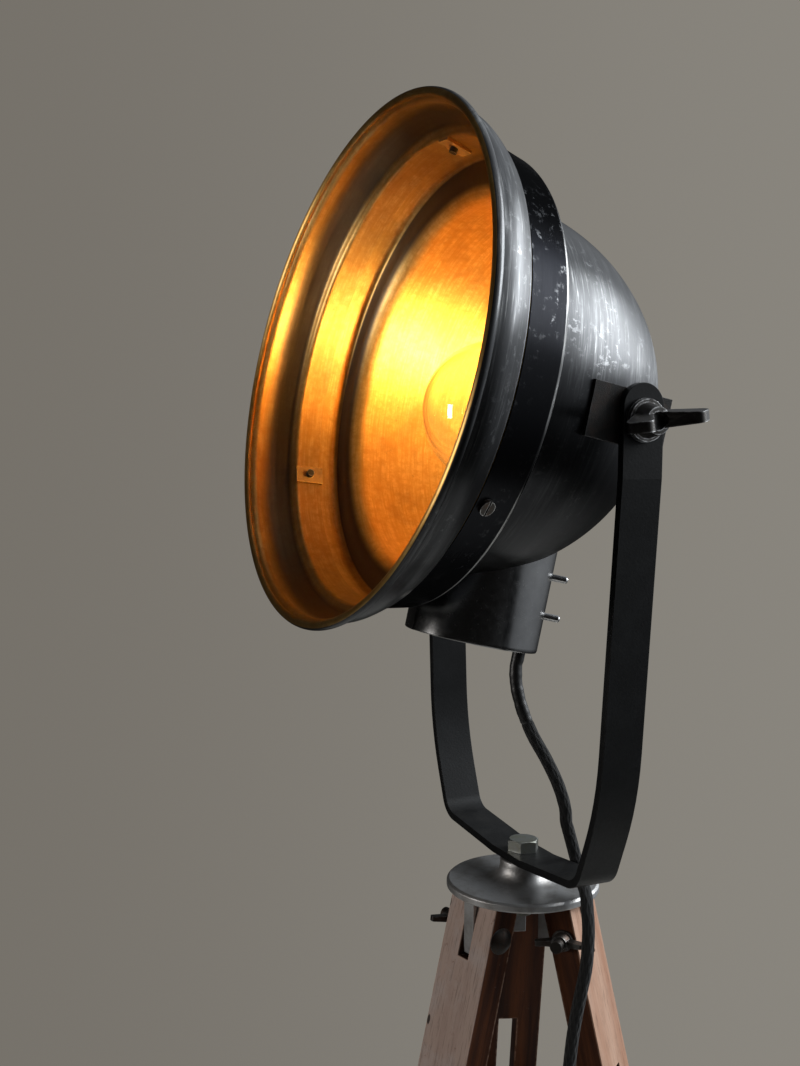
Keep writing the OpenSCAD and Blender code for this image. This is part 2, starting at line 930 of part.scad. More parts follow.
// Two layers, wound in on the floor and out on top, then a short end to the plug
steps = 24;
climb = 0.25;
layer_1 = [for (i = [0:steps * coil_turns])
  coil_point(coil_out - coil_pitch * i / steps, coil_from + 360 * i / steps, coil_low)];
rise = [for (i = [1:steps * climb]) let (t = i / (steps * climb))
  coil_point(coil_in, coil_from + 360 * (coil_turns + climb * t), coil_low + coil_layer * (3 * t * t - 2 * t * t * t))];
layer_2 = [for (i = [1:steps * coil_turns])
  coil_point(coil_in + coil_pitch * i / steps, coil_from + 360 * (coil_turns + climb + i / steps), coil_low + coil_layer)];
end_turn = coil_from + 360 * climb;
end_way = [-sin(end_turn), cos(end_turn), 0];
end_side = [cos(end_turn), sin(end_turn), 0];
coil_last = coil_point(coil_out, end_turn, coil_low + coil_layer);
plug_z = 13;
plug_at = coil_last + coil_end * end_way + coil_aside * end_side + [0, 0, plug_z - coil_low - coil_layer];
tail = [for (t = [0.12:0.11:1])
  coil_last + coil_end * t * end_way + coil_aside * (3 * t * t - 2 * t * t * t) * end_side
  + (plug_z - coil_low - coil_layer) * t * [0, 0, 1]];
coil_path = concat(layer_1, rise, layer_2, tail, [plug_at, plug_at + 9 * end_way]);
plug_face = plug_at + 9 * end_way;

// Least gap between turns, on the points a turn or a layer apart
wound = concat(layer_1, rise, layer_2);
coil_gap = min([for (i = [0:len(wound) - 1]) for (j = [i + 16:1:len(wound) - 1]) norm(wound[i] - wound[j])]) - cord_d;
echo(coil_gap = coil_gap);

module cord_coil() {
  color("black")
    plate_frame()
      tube(coil_path, cord_r, 6, [0, 0, 1]);
}

module coil_tie() {
  band_t = 1.2;
  wide = coil_pitch * (coil_turns + 1) + 2;
  tall = coil_layer + cord_d + 1;
  color("gray")
    plate_frame()
      translate([coil_x, coil_y, -plate_z])
        rotate([0, 0, 330])
          translate([coil_in + coil_pitch * coil_turns / 2, 0, 0])
            difference() {
              translate([-wide / 2 - band_t, -7, 0.2])
                cube([wide + 2 * band_t, 14, tall + 2 * band_t]);
              translate([-wide / 2, -8, 0.2 + band_t])
                cube([wide, 16, tall]);
            }
}

// Plug, lying on the floor beside the coil
plug_l = 36;
pin_in = 14;
pin_out = 19;
module plug_frame() {
  plate_frame()
    translate(plug_face)
      rotate([0, 0, end_turn + 90])
        rotate([0, 90, 0])
          children();
}

module plug_body() {
  color("black")
    plug_frame()
      difference() {
        union() {
          cylinder(r1 = 7, r2 = 12.8, h = 14);
          round_bar(12.8, 14, plug_l);
        }
        for (side = [-1, 1])
          translate([0, 9.5 * side, 0])
            round_bar(1.6, plug_l - pin_in, plug_l + 4);
      }
}

module plug_pins() {
  color("silver")
    plug_frame()
      for (side = [-1, 1])
        translate([0, 9.5 * side, 0]) {
          round_bar(1.6, plug_l - pin_in, plug_l);
          round_bar(2, plug_l, plug_l + pin_out);
        }
}

reflector_bowl();
bezel_ring();
bezel_screws();
bezel_clips();
neck_tube();
neck_base();
neck_pins();
cord_grommet();
holder_strip();
lampholder();
bulb_glass();
bulb_cap();
bulb_stem();
bulb_filament();
tilt_bracket_right();
tilt_bracket_left();
tilt_studs();
tilt_nut_right();
tilt_nut_left();
tilt_washers();
yoke();
pan_bolt();
pan_washer();
pan_nut();
head_plate();
leg_1_upper();
leg_1_hinge_bolt();
leg_1_hinge_nut();
leg_1_collar();
leg_1_lower();
leg_1_clamp_bolt();
leg_1_clamp_nut();
leg_1_ferrule();
leg_1_foot();
leg_2_upper();
leg_2_hinge_bolt();
leg_2_hinge_nut();
leg_2_collar();
leg_2_lower();
leg_2_clamp_bolt();
leg_2_clamp_nut();
leg_2_ferrule();
leg_2_foot();
leg_3_upper();
leg_3_hinge_bolt();
leg_3_hinge_nut();
leg_3_collar();
leg_3_lower();
leg_3_clamp_bolt();
leg_3_clamp_nut();
leg_3_ferrule();
leg_3_foot();
cord_upper();
cord_lower();
cord_coil();
coil_tie();
plug_body();
plug_pins();
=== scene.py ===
import json
import math

import bmesh
import bpy
import numpy as np
from mathutils import Euler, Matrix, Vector


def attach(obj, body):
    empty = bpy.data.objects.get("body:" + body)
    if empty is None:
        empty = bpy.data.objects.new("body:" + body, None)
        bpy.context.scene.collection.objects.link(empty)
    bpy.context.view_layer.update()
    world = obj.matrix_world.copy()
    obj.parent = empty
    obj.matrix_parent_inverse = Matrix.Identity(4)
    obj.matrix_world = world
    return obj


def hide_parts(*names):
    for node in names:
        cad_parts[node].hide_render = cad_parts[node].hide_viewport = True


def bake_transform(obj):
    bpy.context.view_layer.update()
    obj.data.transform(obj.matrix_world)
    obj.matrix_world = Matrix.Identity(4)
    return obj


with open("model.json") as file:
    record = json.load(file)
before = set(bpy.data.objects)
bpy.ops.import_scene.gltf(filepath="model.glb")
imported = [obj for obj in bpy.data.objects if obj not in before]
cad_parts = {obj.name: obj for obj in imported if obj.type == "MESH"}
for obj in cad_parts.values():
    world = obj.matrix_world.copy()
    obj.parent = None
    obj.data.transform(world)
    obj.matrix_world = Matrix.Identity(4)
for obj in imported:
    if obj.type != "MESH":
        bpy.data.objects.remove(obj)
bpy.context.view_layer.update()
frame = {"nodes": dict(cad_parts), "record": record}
nodes = frame["nodes"]
slotOf = {part["node"]: part["material_slot"] for part in frame["record"]["subparts"]}
bodyOf = {node: body for body, members in frame["record"]["behaviour"]["bodies"].items() for node in members}
millimetre = 0.001
plateTop = np.array([19.0, 42.0, 945.0])  # pan axis at the top of the head plate
tiltRise = 303.0  # tilt axis above the plate
tiltUp = math.radians(12.5)
print("frame loaded,", len(nodes), "nodes")

photoCamera = {
    "place": (0.7876, -0.4208, 1.2646),
    "look": (-0.8957, 0.4325, -0.1028),
    "rollDeg": 0.46,
    "lens": 47.28,
    "sensor": 36.0,
    "clipStart": 0.02,
}


def makeCamera(c):
    data = bpy.data.cameras.new("photoCamera")
    data.sensor_width = c["sensor"]
    data.lens = c["lens"]
    data.clip_start = c["clipStart"]
    camera = bpy.data.objects.new("photoCamera", data)
    bpy.context.scene.collection.objects.link(camera)
    look = Vector(c["look"]).to_track_quat("-Z", "Y")
    camera.rotation_mode = "QUATERNION"
    camera.rotation_quaternion = look @ Euler((0, 0, math.radians(c["rollDeg"]))).to_quaternion()
    camera.location = c["place"]
    bpy.context.scene.camera = camera


makeCamera(photoCamera)
print("camera placed")


def plateToRow(points):  # millimetres from the plate's top to metres in the row frame
    return (np.asarray(points, float) + plateTop) * millimetre


def headToRow(x, forward, up):  # tilting frame: right, forward and up from the tilt axis
    y = -forward * math.cos(tiltUp) + up * math.sin(tiltUp)
    z = forward * math.sin(tiltUp) + up * math.cos(tiltUp) + tiltRise
    return plateToRow(np.stack([x, y, z], axis=-1))


def shade(mesh, sharpDeg):
    mesh.polygons.foreach_set("use_smooth", np.ones(len(mesh.polygons), bool))
    mesh.set_sharp_from_angle(angle=math.radians(sharpDeg))
    mesh.update()


def place(name, mesh):
    piece = bpy.data.objects.new(name, mesh)
    bpy.context.scene.collection.objects.link(piece)
    return piece


def makePiece(name, points, faces, sharpDeg=40.0):
    mesh = bpy.data.meshes.new(name)
    mesh.from_pydata(np.asarray(points, float).reshape(-1, 3), [], np.asarray(faces).tolist())
    mesh.validate()
    shade(mesh, sharpDeg)
    return place(name, mesh)


def setValues(piece, name, values):
    layer = piece.data.attributes.new(name, "FLOAT", "POINT")
    layer.data.foreach_set("value", np.asarray(values, np.float32).ravel())


def mergeDoubles(piece, sharpDeg):  # closes poles and seams and drops loose points
    work = bmesh.new()
    work.from_mesh(piece.data)
    bmesh.ops.remove_doubles(work, verts=work.verts, dist=1e-7)
    bmesh.ops.delete(work, geom=[p for p in work.verts if not p.link_faces], context="VERTS")
    work.to_mesh(piece.data)
    work.free()
    shade(piece.data, sharpDeg)


def gridFaces(rows, columns):  # quads of a grid whose columns run round
    i, j = np.meshgrid(np.arange(rows - 1), np.arange(columns), indexing="ij")
    k = (j + 1) % columns
    return np.stack([i * columns + j, i * columns + k, (i + 1) * columns + k, (i + 1) * columns + j], -1)


def loopFaces(rows, columns):  # the same with the last row joined to the first
    return gridFaces(rows + 1, columns).reshape(-1, 4) % (rows * columns)


def arc(centreR, centreS, radius, start, end, count):
    a = np.radians(np.linspace(start, end, count))
    return np.stack([centreR + radius * np.cos(a), centreS + radius * np.sin(a)], -1)


def ramp(values, none, full):  # 0 at none and 1 at full
    return np.clip((values - none) / (full - none), 0, 1)


def smoothRoute(points, steps):
    # Catmull-Rom between b and c: (2b + (c-a)t + (2a-5b+4c-d)tt + (3b-a-3c+d)ttt) / 2
    p = np.asarray(points, float)
    padded = np.vstack([p[:1], p, p[-1:]])
    a, b, c, d = (padded[k : k + len(p) - 1, None, :] for k in range(4))
    t = np.linspace(0, 1, steps, endpoint=False)[None, :, None]
    curve = (2 * b + (c - a) * t + (2 * a - 5 * b + 4 * c - d) * t**2 + (3 * b - a - 3 * c + d) * t**3) / 2
    return np.vstack([curve.reshape(-1, p.shape[1]), p[-1:]])


def runAlong(points):
    return np.concatenate([[0], np.cumsum(np.linalg.norm(np.diff(points, axis=0), axis=1))])


def evenRoute(points, spacing):  # the same line with points an even distance apart
    run = runAlong(points)
    at = np.linspace(0, run[-1], max(2, int(round(run[-1] / spacing)) + 1))
    return np.stack([np.interp(at, run, points[:, k]) for k in range(3)], -1), at


def routeFrames(line, firstSide):  # two sides along a line, turned as little as possible
    tangent = np.gradient(line, axis=0)
    tangent /= np.linalg.norm(tangent, axis=1, keepdims=True)
    side = np.zeros_like(line)
    last = np.asarray(firstSide, float)
    for k, way in enumerate(tangent):
        last = last - way * (last @ way)
        last = last / np.linalg.norm(last)
        side[k] = last
    return side, np.cross(tangent, side)


def braidedTube(name, line, at, radius, firstSide, braid):
    # point = line + r (cos a side + sin a other)
    # r = radius (1 + depth (max(sin(n a + k at), sin(n a - k at)) - 1))
    side, other = routeFrames(line, firstSide)
    turn = np.linspace(0, 2 * math.pi, braid["sides"], endpoint=False)
    twist = 2 * math.pi * at[:, None] / braid["lay"]
    weave = np.maximum(np.sin(braid["strands"] * turn + twist), np.sin(braid["strands"] * turn - twist))
    r = np.asarray(radius)[:, None] * (1 + braid["depth"] * (weave - 1))
    ring = np.cos(turn)[None, :, None] * side[:, None] + np.sin(turn)[None, :, None] * other[:, None]
    rows, columns = r.shape
    first, last = np.arange(columns), (rows - 1) * columns + np.arange(columns)
    faces = gridFaces(rows, columns).reshape(-1, 4).tolist() + [first[::-1].tolist(), last.tolist()]
    mesh = bpy.data.meshes.new(name)
    mesh.from_pydata((line[:, None] + r[..., None] * ring).reshape(-1, 3), [], faces)
    shade(mesh, braid["sharpDeg"])
    piece = place(name, mesh)
    setValues(piece, "around", np.broadcast_to(turn[None, :], r.shape))
    setValues(piece, "run", np.broadcast_to(at[:, None], r.shape))
    return piece


cordValues = {
    "diameter": 8.0,
    "braid": {"sides": 32, "strands": 8, "lay": 0.011, "depth": 0.02, "sharpDeg": 60.0},
    "spacing": 1.2,
    "steps": 12,  # between two points of a route
    "coreRadius": 3.4,  # under the sleeve
    "grommet": (26.0, 11.0, -147.0),  # right, back and up from the tilt axis
    "exitDrops": (0.0, 5.0, 10.0),
    "join": (33, 14, 38),
    "joinWay": (0, 0.3, -0.95),
    "joinLead": (0.0, 4.0, 8.0),  # straight run on either side of the join
    "upper": [(27.5, -23.5, 136), (31, -21, 121), (34, -15, 105), (36, -6, 89), (36, 3, 72), (34.5, 9.5, 56)],
    "lower": [
        (33, 19, 22), (38, 19, 14), (47, 16, 9), (57, 12, 5), (65, 8, -2), (71, 5, -13), (74, 2, -32),
        (72, 0, -49), (68, -1, -68), (65, -2, -90), (61, -2, -125), (58, -1, -170), (57, 1, -240),
        (60, 4, -330), (65, 7, -420), (70, 10, -520), (73, 12, -620), (74, 12, -720), (73, 9, -800),
        (72, 2, -860),
    ],
    "landing": [(75, 34), (40, 6), (12, 0), (0, 0)],  # behind the coil's start and above it
    "panEnd": (65, 8, -2),  # from here down the cord stays with the tripod
}
coilValues = {
    "centre": (150.0, -70.0), "rise": 1.6, "inner": 36.0, "pitch": 9.2, "layer": 8.8,
    "turns": 3, "from": 200.0, "climb": 0.25, "end": 105.0, "endAside": 16.0, "plugHeight": 13.0,
    "intoPlug": 9.0, "turnSteps": 48, "climbSteps": 14, "endSteps": 18,
}
sleeveValues = {  # smooth sleeve where the cord leaves the neck
    "end": 46.0, "radius": 3.95, "lip": 0.1, "lipLength": 1.2,
    "taper": 3.0, "taperPast": 1.0,  # the cord fills out from under the sleeve's end
    "ripples": ((0.1, 0.55, 0.0), (0.06, 1.31, 1.0)),  # height, how often and phase
}


def coilPoint(c, radius, degrees, height):
    radius, a, height = np.broadcast_arrays(radius, np.radians(degrees), height)
    x, y = c["centre"]
    return np.stack([x + radius * np.cos(a), y + radius * np.sin(a), height - plateTop[2]], -1)


def coilRoute(c, radius):
    # in on the floor by a pitch each turn, up a layer while turning, out on top, then away to the plug
    low, outer = c["rise"] + radius, c["inner"] + c["pitch"] * c["turns"]
    t = np.linspace(0, c["turns"], c["turnSteps"] * c["turns"] + 1)
    first = coilPoint(c, outer - c["pitch"] * t, c["from"] + 360 * t, low)
    u = np.linspace(0, 1, c["climbSteps"])[1:]
    rising = low + c["layer"] * u**2 * (3 - 2 * u)
    climb = coilPoint(c, c["inner"], c["from"] + 360 * (c["turns"] + c["climb"] * u), rising)
    t = t[1:]
    turned = c["from"] + 360 * (c["turns"] + c["climb"] + t)
    second = coilPoint(c, c["inner"] + c["pitch"] * t, turned, low + c["layer"])
    last = math.radians(c["from"] + 360 * c["climb"])
    way = np.array([-math.sin(last), math.cos(last), 0])
    aside = np.array([math.cos(last), math.sin(last), 0])
    u = np.linspace(0, 1, c["endSteps"])[1:, None]
    drop = np.array([0, 0, c["plugHeight"] - low - c["layer"]])
    tail = second[-1] + c["end"] * u * way + c["endAside"] * u**2 * (3 - 2 * u) * aside + drop * u
    begin = math.radians(c["from"])
    startWay = np.array([-math.sin(begin), math.cos(begin), 0])
    return np.vstack([first, climb, second, tail, tail[-1:] + c["intoPlug"] * way]), startWay


def cordRoutes(c, coil):
    radius = c["diameter"] / 2
    x, back, up = c["grommet"]
    drops = up - np.array(c["exitDrops"])
    out = headToRow(np.full(len(drops), x), np.full(len(drops), -back), drops) / millimetre - plateTop
    way = np.array(c["joinWay"]) / np.linalg.norm(c["joinWay"])
    join = np.array(c["join"], float)
    lead = np.array(c["joinLead"])[:, None] * way
    upper = np.vstack([out, c["upper"], join - lead[::-1]])
    wound, coilWay = coilRoute(coil, radius)
    down = [wound[0] - behind * coilWay + [0, 0, above] for behind, above in c["landing"]]
    lower = np.vstack([join + lead, c["lower"], down])
    return smoothRoute(upper, c["steps"]), smoothRoute(lower, c["steps"]), wound


def makeCords(c, coil, sleeve):
    made = {}
    radius = c["diameter"] / 2
    firstSides = {"cordUpper": (1, 0, 0), "cordLower": (1, 0, 0), "cordCoil": (0, 0, 1)}
    for (name, side), route in zip(firstSides.items(), cordRoutes(c, coil)):
        line, at = evenRoute(route, c["spacing"])
        r = np.full(len(line), radius)
        if name == "cordUpper":  # thinner under the sleeve
            full = sleeve["end"] + sleeve["taperPast"]
            r = c["coreRadius"] + (radius - c["coreRadius"]) * ramp(at, full - sleeve["taper"], full)
            covered = at <= sleeve["end"]
            sleeveLine, sleeveAt = line[covered], at[covered]
        row = plateToRow(line)
        tube = braidedTube(name, row, at * millimetre, r * millimetre, side, c["braid"])
        made[name] = (tube, row, at[-1] * millimetre)
    return made, makeSleeve(c, sleeve, sleeveLine, sleeveAt)


def makeSleeve(c, s, line, at):  # full radius with small ripples, drawn in to the cord at its lower lip
    left = ramp(at, at[-1], at[-1] - s["lipLength"])
    ripple = sum(height * np.sin(at * often + phase) for height, often, phase in s["ripples"])
    lip = c["coreRadius"] + s["lip"]
    r = (lip + (s["radius"] - lip) * np.sqrt(left) + ripple * left) * millimetre
    plain = {**c["braid"], "depth": 0.0}
    return braidedTube("cordSleeve", plateToRow(line), at * millimetre, r, (1, 0, 0), plain)


tieValues = {
    "corner": 6.0, "thick": 0.7, "wide": 7.0, "turnDeg": 330.0, "slack": 1.0, "low": 0.9, "over": 2.3,
    "around": 96, "section": 20, "flatness": (0.35, 0.6), "weaveTurns": 3,
}


def flattened(wave, power):  # a wave drawn towards a square one
    return np.sign(wave) * np.abs(wave) ** power


def makeTie(t, c, radius):
    # a flat rounded section carried round a rounded oblong that holds all the turns
    half = c["pitch"] * (c["turns"] + 1) / 2 + t["slack"]
    low, high = t["low"], c["layer"] + 2 * radius + t["over"]
    angle = np.linspace(0, 2 * math.pi, t["around"], endpoint=False)
    normal = np.stack([np.cos(angle), np.sin(angle)], -1)
    reach = np.array([half - t["corner"], (high - low) / 2 - t["corner"]])
    ring = np.sign(normal) * reach * (np.abs(normal) > 1e-9) + t["corner"] * normal
    ring[:, 1] += (high + low) / 2
    section = np.linspace(0, 2 * math.pi, t["section"], endpoint=False)
    across = t["wide"] * flattened(np.cos(section), t["flatness"][0])
    off = t["thick"] * flattened(np.sin(section), t["flatness"][1])
    flat = ring[:, None] + off[None, :, None] * normal[:, None]
    turn = math.radians(t["turnDeg"])
    radial = c["inner"] + c["pitch"] * c["turns"] / 2 + flat[..., 0]
    x = c["centre"][0] + radial * math.cos(turn) - across * math.sin(turn)
    y = c["centre"][1] + radial * math.sin(turn) + across * math.cos(turn)
    points = plateToRow(np.stack([x, y, flat[..., 1] - plateTop[2]], -1))
    piece = makePiece("coilTieBand", points, loopFaces(t["around"], t["section"])[:, ::-1])
    setValues(piece, "around", np.broadcast_to(angle[:, None] * t["weaveTurns"], flat.shape[:2]))
    setValues(piece, "run", np.broadcast_to(across[None, :], flat.shape[:2]) * millimetre)
    return piece


def tieCords():
    upper, lower, coil = (cords[name] for name in ("cordUpper", "cordLower", "cordCoil"))
    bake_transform(upper[0])
    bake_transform(cordSleeve)
    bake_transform(lower[0])
    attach(coil[0], "tripod_head")
    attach(coilTieBand, "tripod_head")
    standIns = {"cord_upper": upper[0], "cord_lower": lower[0], "cord_coil": coil[0], "coil_tie": coilTieBand}
    for node, piece in standIns.items():
        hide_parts(node)
    return standIns


cords, cordSleeve = makeCords(cordValues, coilValues, sleeveValues)
coilTieBand = makeTie(tieValues, coilValues, cordValues["diameter"] / 2)
cordPieces = tieCords()
print("cords made:", {name: round(made[2], 3) for name, made in cords.items()})

headValues = {
    "axisUp": 6.0, "rim": 160.0, "bead": 3.0, "sheet": 1.2, "bowlDepth": 128.0, "bowlCentre": 58.0,
    "bowlDrop": 43.0,  # the bowl's mouth is this much less in radius than the rim
    "bandDrop": 14.5, "bandTaper": 4.5, "bandLength": 26.0, "bezelLength": 28.0, "fillet": 11.0,
    "corner": 4.0,  # bend from the ledge to the band
    "bandShort": 2.2, "seat": 0.05, "skirt": 14.0, "skirtBend": 2.0,
    # in from the rim's radius, then forward from the band or back from the rim
    "flare": [(11.2, 0.8), (9.5, 2.4), (7.7, 5), (5.8, 8), (4.2, 11), (3.1, 14.5), (2.8, 18)],
    "flareEnd": [(3.1, 7), (3.5, 4), (2.6, 2), (0.6, 0)],
    "beadArc": (-120, 160, 25), "beadOutside": 15,
    "neck": 42.5, "neckForward": 10.0, "neckDrop": 147.0,
    "neckBelow": -40.0,  # the bore is cut only below this height
    "round": 288, "sharpDeg": 50.0,
    "steps": {
        "bowl": 61, "fillet": 11, "ledge": 8, "corner": 9, "band": 10, "skirt": 6, "turn": 7, "flare": 4,
    },
    "unevenness": 0.16,  # how far the spun sheet wanders from a true circle
    "bezelUnevenness": 0.8, "poleFade": 40.0,
    # count round the axis, lean, phase and height
    "waves": ((3, 0.021, 0.8, 0.6), (5, -0.034, 2.1, 0.4), (9, 0.055, 4.0, 0.22)),
    "ridgeBend": (0.10, 0.22),  # bends per millimetre that wear bright
    "beadBend": (0.31, 0.27),  # and those too tight to
}


def headProfiles(h):
    band, bowl = h["rim"] - h["bandDrop"], h["rim"] - h["bowlDrop"]
    rear = band - h["bandTaper"]
    ledge = h["bowlCentre"] + h["fillet"]
    bend, turned = h["corner"], h["skirtBend"]
    bandBack = ledge + bend
    bandFront = bandBack + h["bandLength"] - h["bandShort"]
    ring = bandBack + h["bandLength"]
    slope = math.atan2(h["bandTaper"], bandFront - bandBack)
    skirt = band - (h["sheet"] + h["seat"]) / math.cos(slope)
    steps = h["steps"]
    a = np.radians(np.linspace(0, 90, steps["bowl"]))
    corner = arc(rear - bend, ledge + bend, bend, -90, -math.degrees(slope), steps["corner"])
    bowlPath = np.vstack([
        np.stack([bowl * np.sin(a), h["bowlCentre"] - h["bowlDepth"] * np.cos(a)], -1),
        arc(bowl + h["fillet"], h["bowlCentre"], h["fillet"], 180, 90, steps["fillet"])[1:],
        np.linspace((bowl + h["fillet"], ledge), (rear - bend, ledge), steps["ledge"])[1:-1],
        corner,
        np.linspace(corner[-1], (band, bandFront), steps["band"])[1:],
    ])
    rimS = ring + h["bezelLength"]
    flare = smoothRoute(np.array([
        (skirt + turned, ring),
        *((h["rim"] - inward, ring + forward) for inward, forward in h["flare"]),
        *((h["rim"] - inward, rimS - back) for inward, back in h["flareEnd"]),
    ]), steps["flare"])
    skirtBack = (skirt - h["skirt"] * math.tan(slope), bandFront - h["skirt"])
    bezelPath = np.vstack([
        np.linspace(skirtBack, (skirt, bandFront), steps["skirt"]),
        arc(skirt + turned, ring - turned, turned, 180, 90, steps["turn"])[1:],
        flare[1:],
    ])
    return bowlPath, bezelPath, rimS


def inset(path, thick):  # the other face of the sheet, a thickness along the normal
    way = np.gradient(path, axis=0)
    way /= np.linalg.norm(way, axis=1, keepdims=True)
    return np.stack([np.maximum(path[:, 0] - thick * way[:, 1], 0), path[:, 1] + thick * way[:, 0]], -1)


def carryRound(h, path, fade):  # (radius, forward) round the head's axis, with the small waves of spun sheet
    turn = np.linspace(0, 2 * math.pi, h["round"], endpoint=False)[None]
    s = path[:, 1:2] + 0 * turn
    waves = sum(np.sin(count * turn + lean * s + phase) * height for count, lean, phase, height in h["waves"])
    radius = path[:, 0:1] + h["unevenness"] * waves * fade[:, None]
    return radius * np.cos(turn), s, h["axisUp"] + radius * np.sin(turn)


def bowlHeight(h, x, s, thick=0.0):  # underside of the bowl at a place in the tilting frame
    wide = np.sqrt(np.clip(1 - ((s - h["bowlCentre"]) / (h["bowlDepth"] - thick)) ** 2, 0, 1))
    deep = (h["rim"] - h["bowlDrop"] - thick) * wide
    return h["axisUp"] - np.sqrt(np.clip(deep**2 - x**2, 0, None))


def markSpun(piece, h, path, inside, layers):  # attributes that the spun marks follow
    turn = np.tile(np.linspace(0, 2 * math.pi, h["round"], endpoint=False), len(path) * layers)
    run = np.tile(np.repeat(runAlong(path), h["round"]), layers) * millimetre
    way = np.gradient(path, axis=0)
    heading = np.unwrap(np.arctan2(way[:, 1], way[:, 0]))
    bend = np.gradient(heading) / np.maximum(np.linalg.norm(way, axis=1), 1e-6)
    ridge = ramp(bend, *h["ridgeBend"]) * ramp(bend, *h["beadBend"])  # corners, but not the bead
    ridge = np.tile(np.repeat(ridge, h["round"]), layers)
    marks = {"inside": inside, "profile": run, "east": np.cos(turn), "north": np.sin(turn), "ridge": ridge}
    for name, values in marks.items():
        setValues(piece, name, values)
    corners = np.empty(len(piece.data.loops), int)
    piece.data.loops.foreach_get("vertex_index", corners)
    lap = turn[corners].reshape(-1, 4) / (2 * math.pi)
    lap = np.where(lap < lap.max(axis=1, keepdims=True) - 0.5, lap + 1, lap)  # across the seam
    sheet = np.stack([run[corners], lap.ravel()], -1)  # along the profile, then round the axis
    piece.data.uv_layers.new(name="sheet").data.foreach_set("uv", sheet.astype(np.float32).ravel())


def boreWalls(cells, columns, count):  # quads between the two sheets round the cells that are cut out
    def wall(i, j, k, down):
        a, b = (i * columns + j, k) if down else (k, i * columns + j)
        return np.stack([a, b, b + count, a + count], -1)
    east, south = np.roll(cells, -1, axis=1), cells[1:]
    walls = []
    for hit, down in ((~cells & east, False), (cells & ~east, True)):
        i, j = np.nonzero(hit)
        j = (j + 1) % columns
        walls.append(wall(i, j, (i + 1) * columns + j, down))
    for hit, down in ((~cells[:-1] & south, True), (cells[:-1] & ~south, False)):
        i, j = np.nonzero(hit)
        walls.append(wall(i + 1, j, (i + 1) * columns + (j + 1) % columns, down))
    return walls


def makeBowl(h, path):
    rows, columns = len(path), h["round"]
    count = rows * columns
    faces = gridFaces(rows, columns)
    fade = ramp(path[:, 0], 0, h["poleFade"])
    hole = h["neck"] - h["sheet"]
    x, s, v = carryRound(h, path, fade)
    gone = (np.hypot(x, s - h["neckForward"]) < hole) & (v < h["neckBelow"])  # points over the bore
    cells = gone.ravel()[faces].all(-1)
    edge = np.zeros(count, bool)
    edge[faces[~cells].ravel()] = True
    edge &= gone.ravel()  # a kept cell's point in the bore goes to the bore's edge
    sheets = []
    for line, thick in ((path, 0.0), (inset(path, h["sheet"]), h["sheet"])):
        x, s, v = (a.ravel() for a in carryRound(h, line, fade))
        grow = np.where(edge, hole / np.maximum(np.hypot(x, s - h["neckForward"]), 1e-6), 1.0)
        x, s = x * grow, h["neckForward"] + (s - h["neckForward"]) * grow
        sheets.append(headToRow(x, s, np.where(edge, bowlHeight(h, x, s, thick), v)))
    kept = faces[~cells]
    last = (rows - 1) * columns + np.arange(columns)
    after = np.roll(last, -1)
    rim = np.stack([last, after, after + count, last + count], -1)
    faces = np.vstack([kept, kept[:, ::-1] + count, rim, *boreWalls(cells, columns, count)])
    piece = makePiece("reflectorShell", np.vstack(sheets), faces)
    markSpun(piece, h, path, np.repeat([0.0, 1.0], count), 2)
    mergeDoubles(piece, h["sharpDeg"])
    return piece


def makeBezel(h, path, rimS):
    # outer face, rolled bead and inner face as one closed loop carried round the axis
    inner = inset(path, h["sheet"])[::-1]
    bead = arc(h["rim"], rimS, h["bead"], *h["beadArc"])
    loop = np.vstack([path[:-1], bead, inner[1:]])
    isInside = (np.arange(len(loop)) >= len(path) - 1 + h["beadOutside"]).astype(float)
    points = headToRow(*carryRound(h, loop, np.full(len(loop), h["bezelUnevenness"])))
    piece = makePiece("bezelShell", points, loopFaces(len(loop), h["round"]), h["sharpDeg"])
    markSpun(piece, h, loop, np.repeat(isInside, h["round"]), 1)
    return piece


neckValues = {
    "seamDeg": 87.0, "lap": 0.9,  # the sheet's outer end lies on its inner end
    "lapDeg": 16.0, "rows": 40, "columns": 240, "sharpDeg": 35.0,
    "lip": 0.5, "lipRise": 0.6, "lipShare": 1 / 60,  # rounded lower edge
    "intoBowl": 0.6,
}


def makeNeck(h, n):
    # radius grows by the lap towards the seam: r(a) = R + lap (1 - a / lapDeg) within lapDeg after the seam
    after = np.linspace(0, 360, n["columns"])  # the last column meets the first in the step at the seam
    raised = np.clip(1 - after / n["lapDeg"], 0, 1) * n["lap"]
    a = np.radians(n["seamDeg"] + after)
    t = np.linspace(0, 1, n["rows"])
    loops = []
    for radius, order in ((h["neck"] + raised, 1), (h["neck"] - h["sheet"] + 0 * raised, -1)):
        x, s = radius * np.cos(a), h["neckForward"] + radius * np.sin(a)
        top = bowlHeight(h, x, s) + n["intoBowl"]
        rise = t[::order, None]
        lip = n["lip"] * ramp(rise, n["lipShare"], 0) ** 2
        v = -h["neckDrop"] + lip * n["lipRise"] + (top + h["neckDrop"]) * rise
        draw = 1 - order * lip / h["neck"]
        loops.append(headToRow(x * draw, h["neckForward"] + (s - h["neckForward"]) * draw, v))
    piece = makePiece("neckShell", np.vstack(loops), loopFaces(2 * n["rows"], n["columns"])[:, ::-1])
    mergeDoubles(piece, n["sharpDeg"])
    return piece


bowlPath, bezelPath, rimForward = headProfiles(headValues)
reflectorShell = makeBowl(headValues, bowlPath)
bezelShell = makeBezel(headValues, bezelPath, rimForward)
neckShell = makeNeck(headValues, neckValues)
print("reflector", len(reflectorShell.data.polygons), "faces, bezel", len(bezelShell.data.polygons))

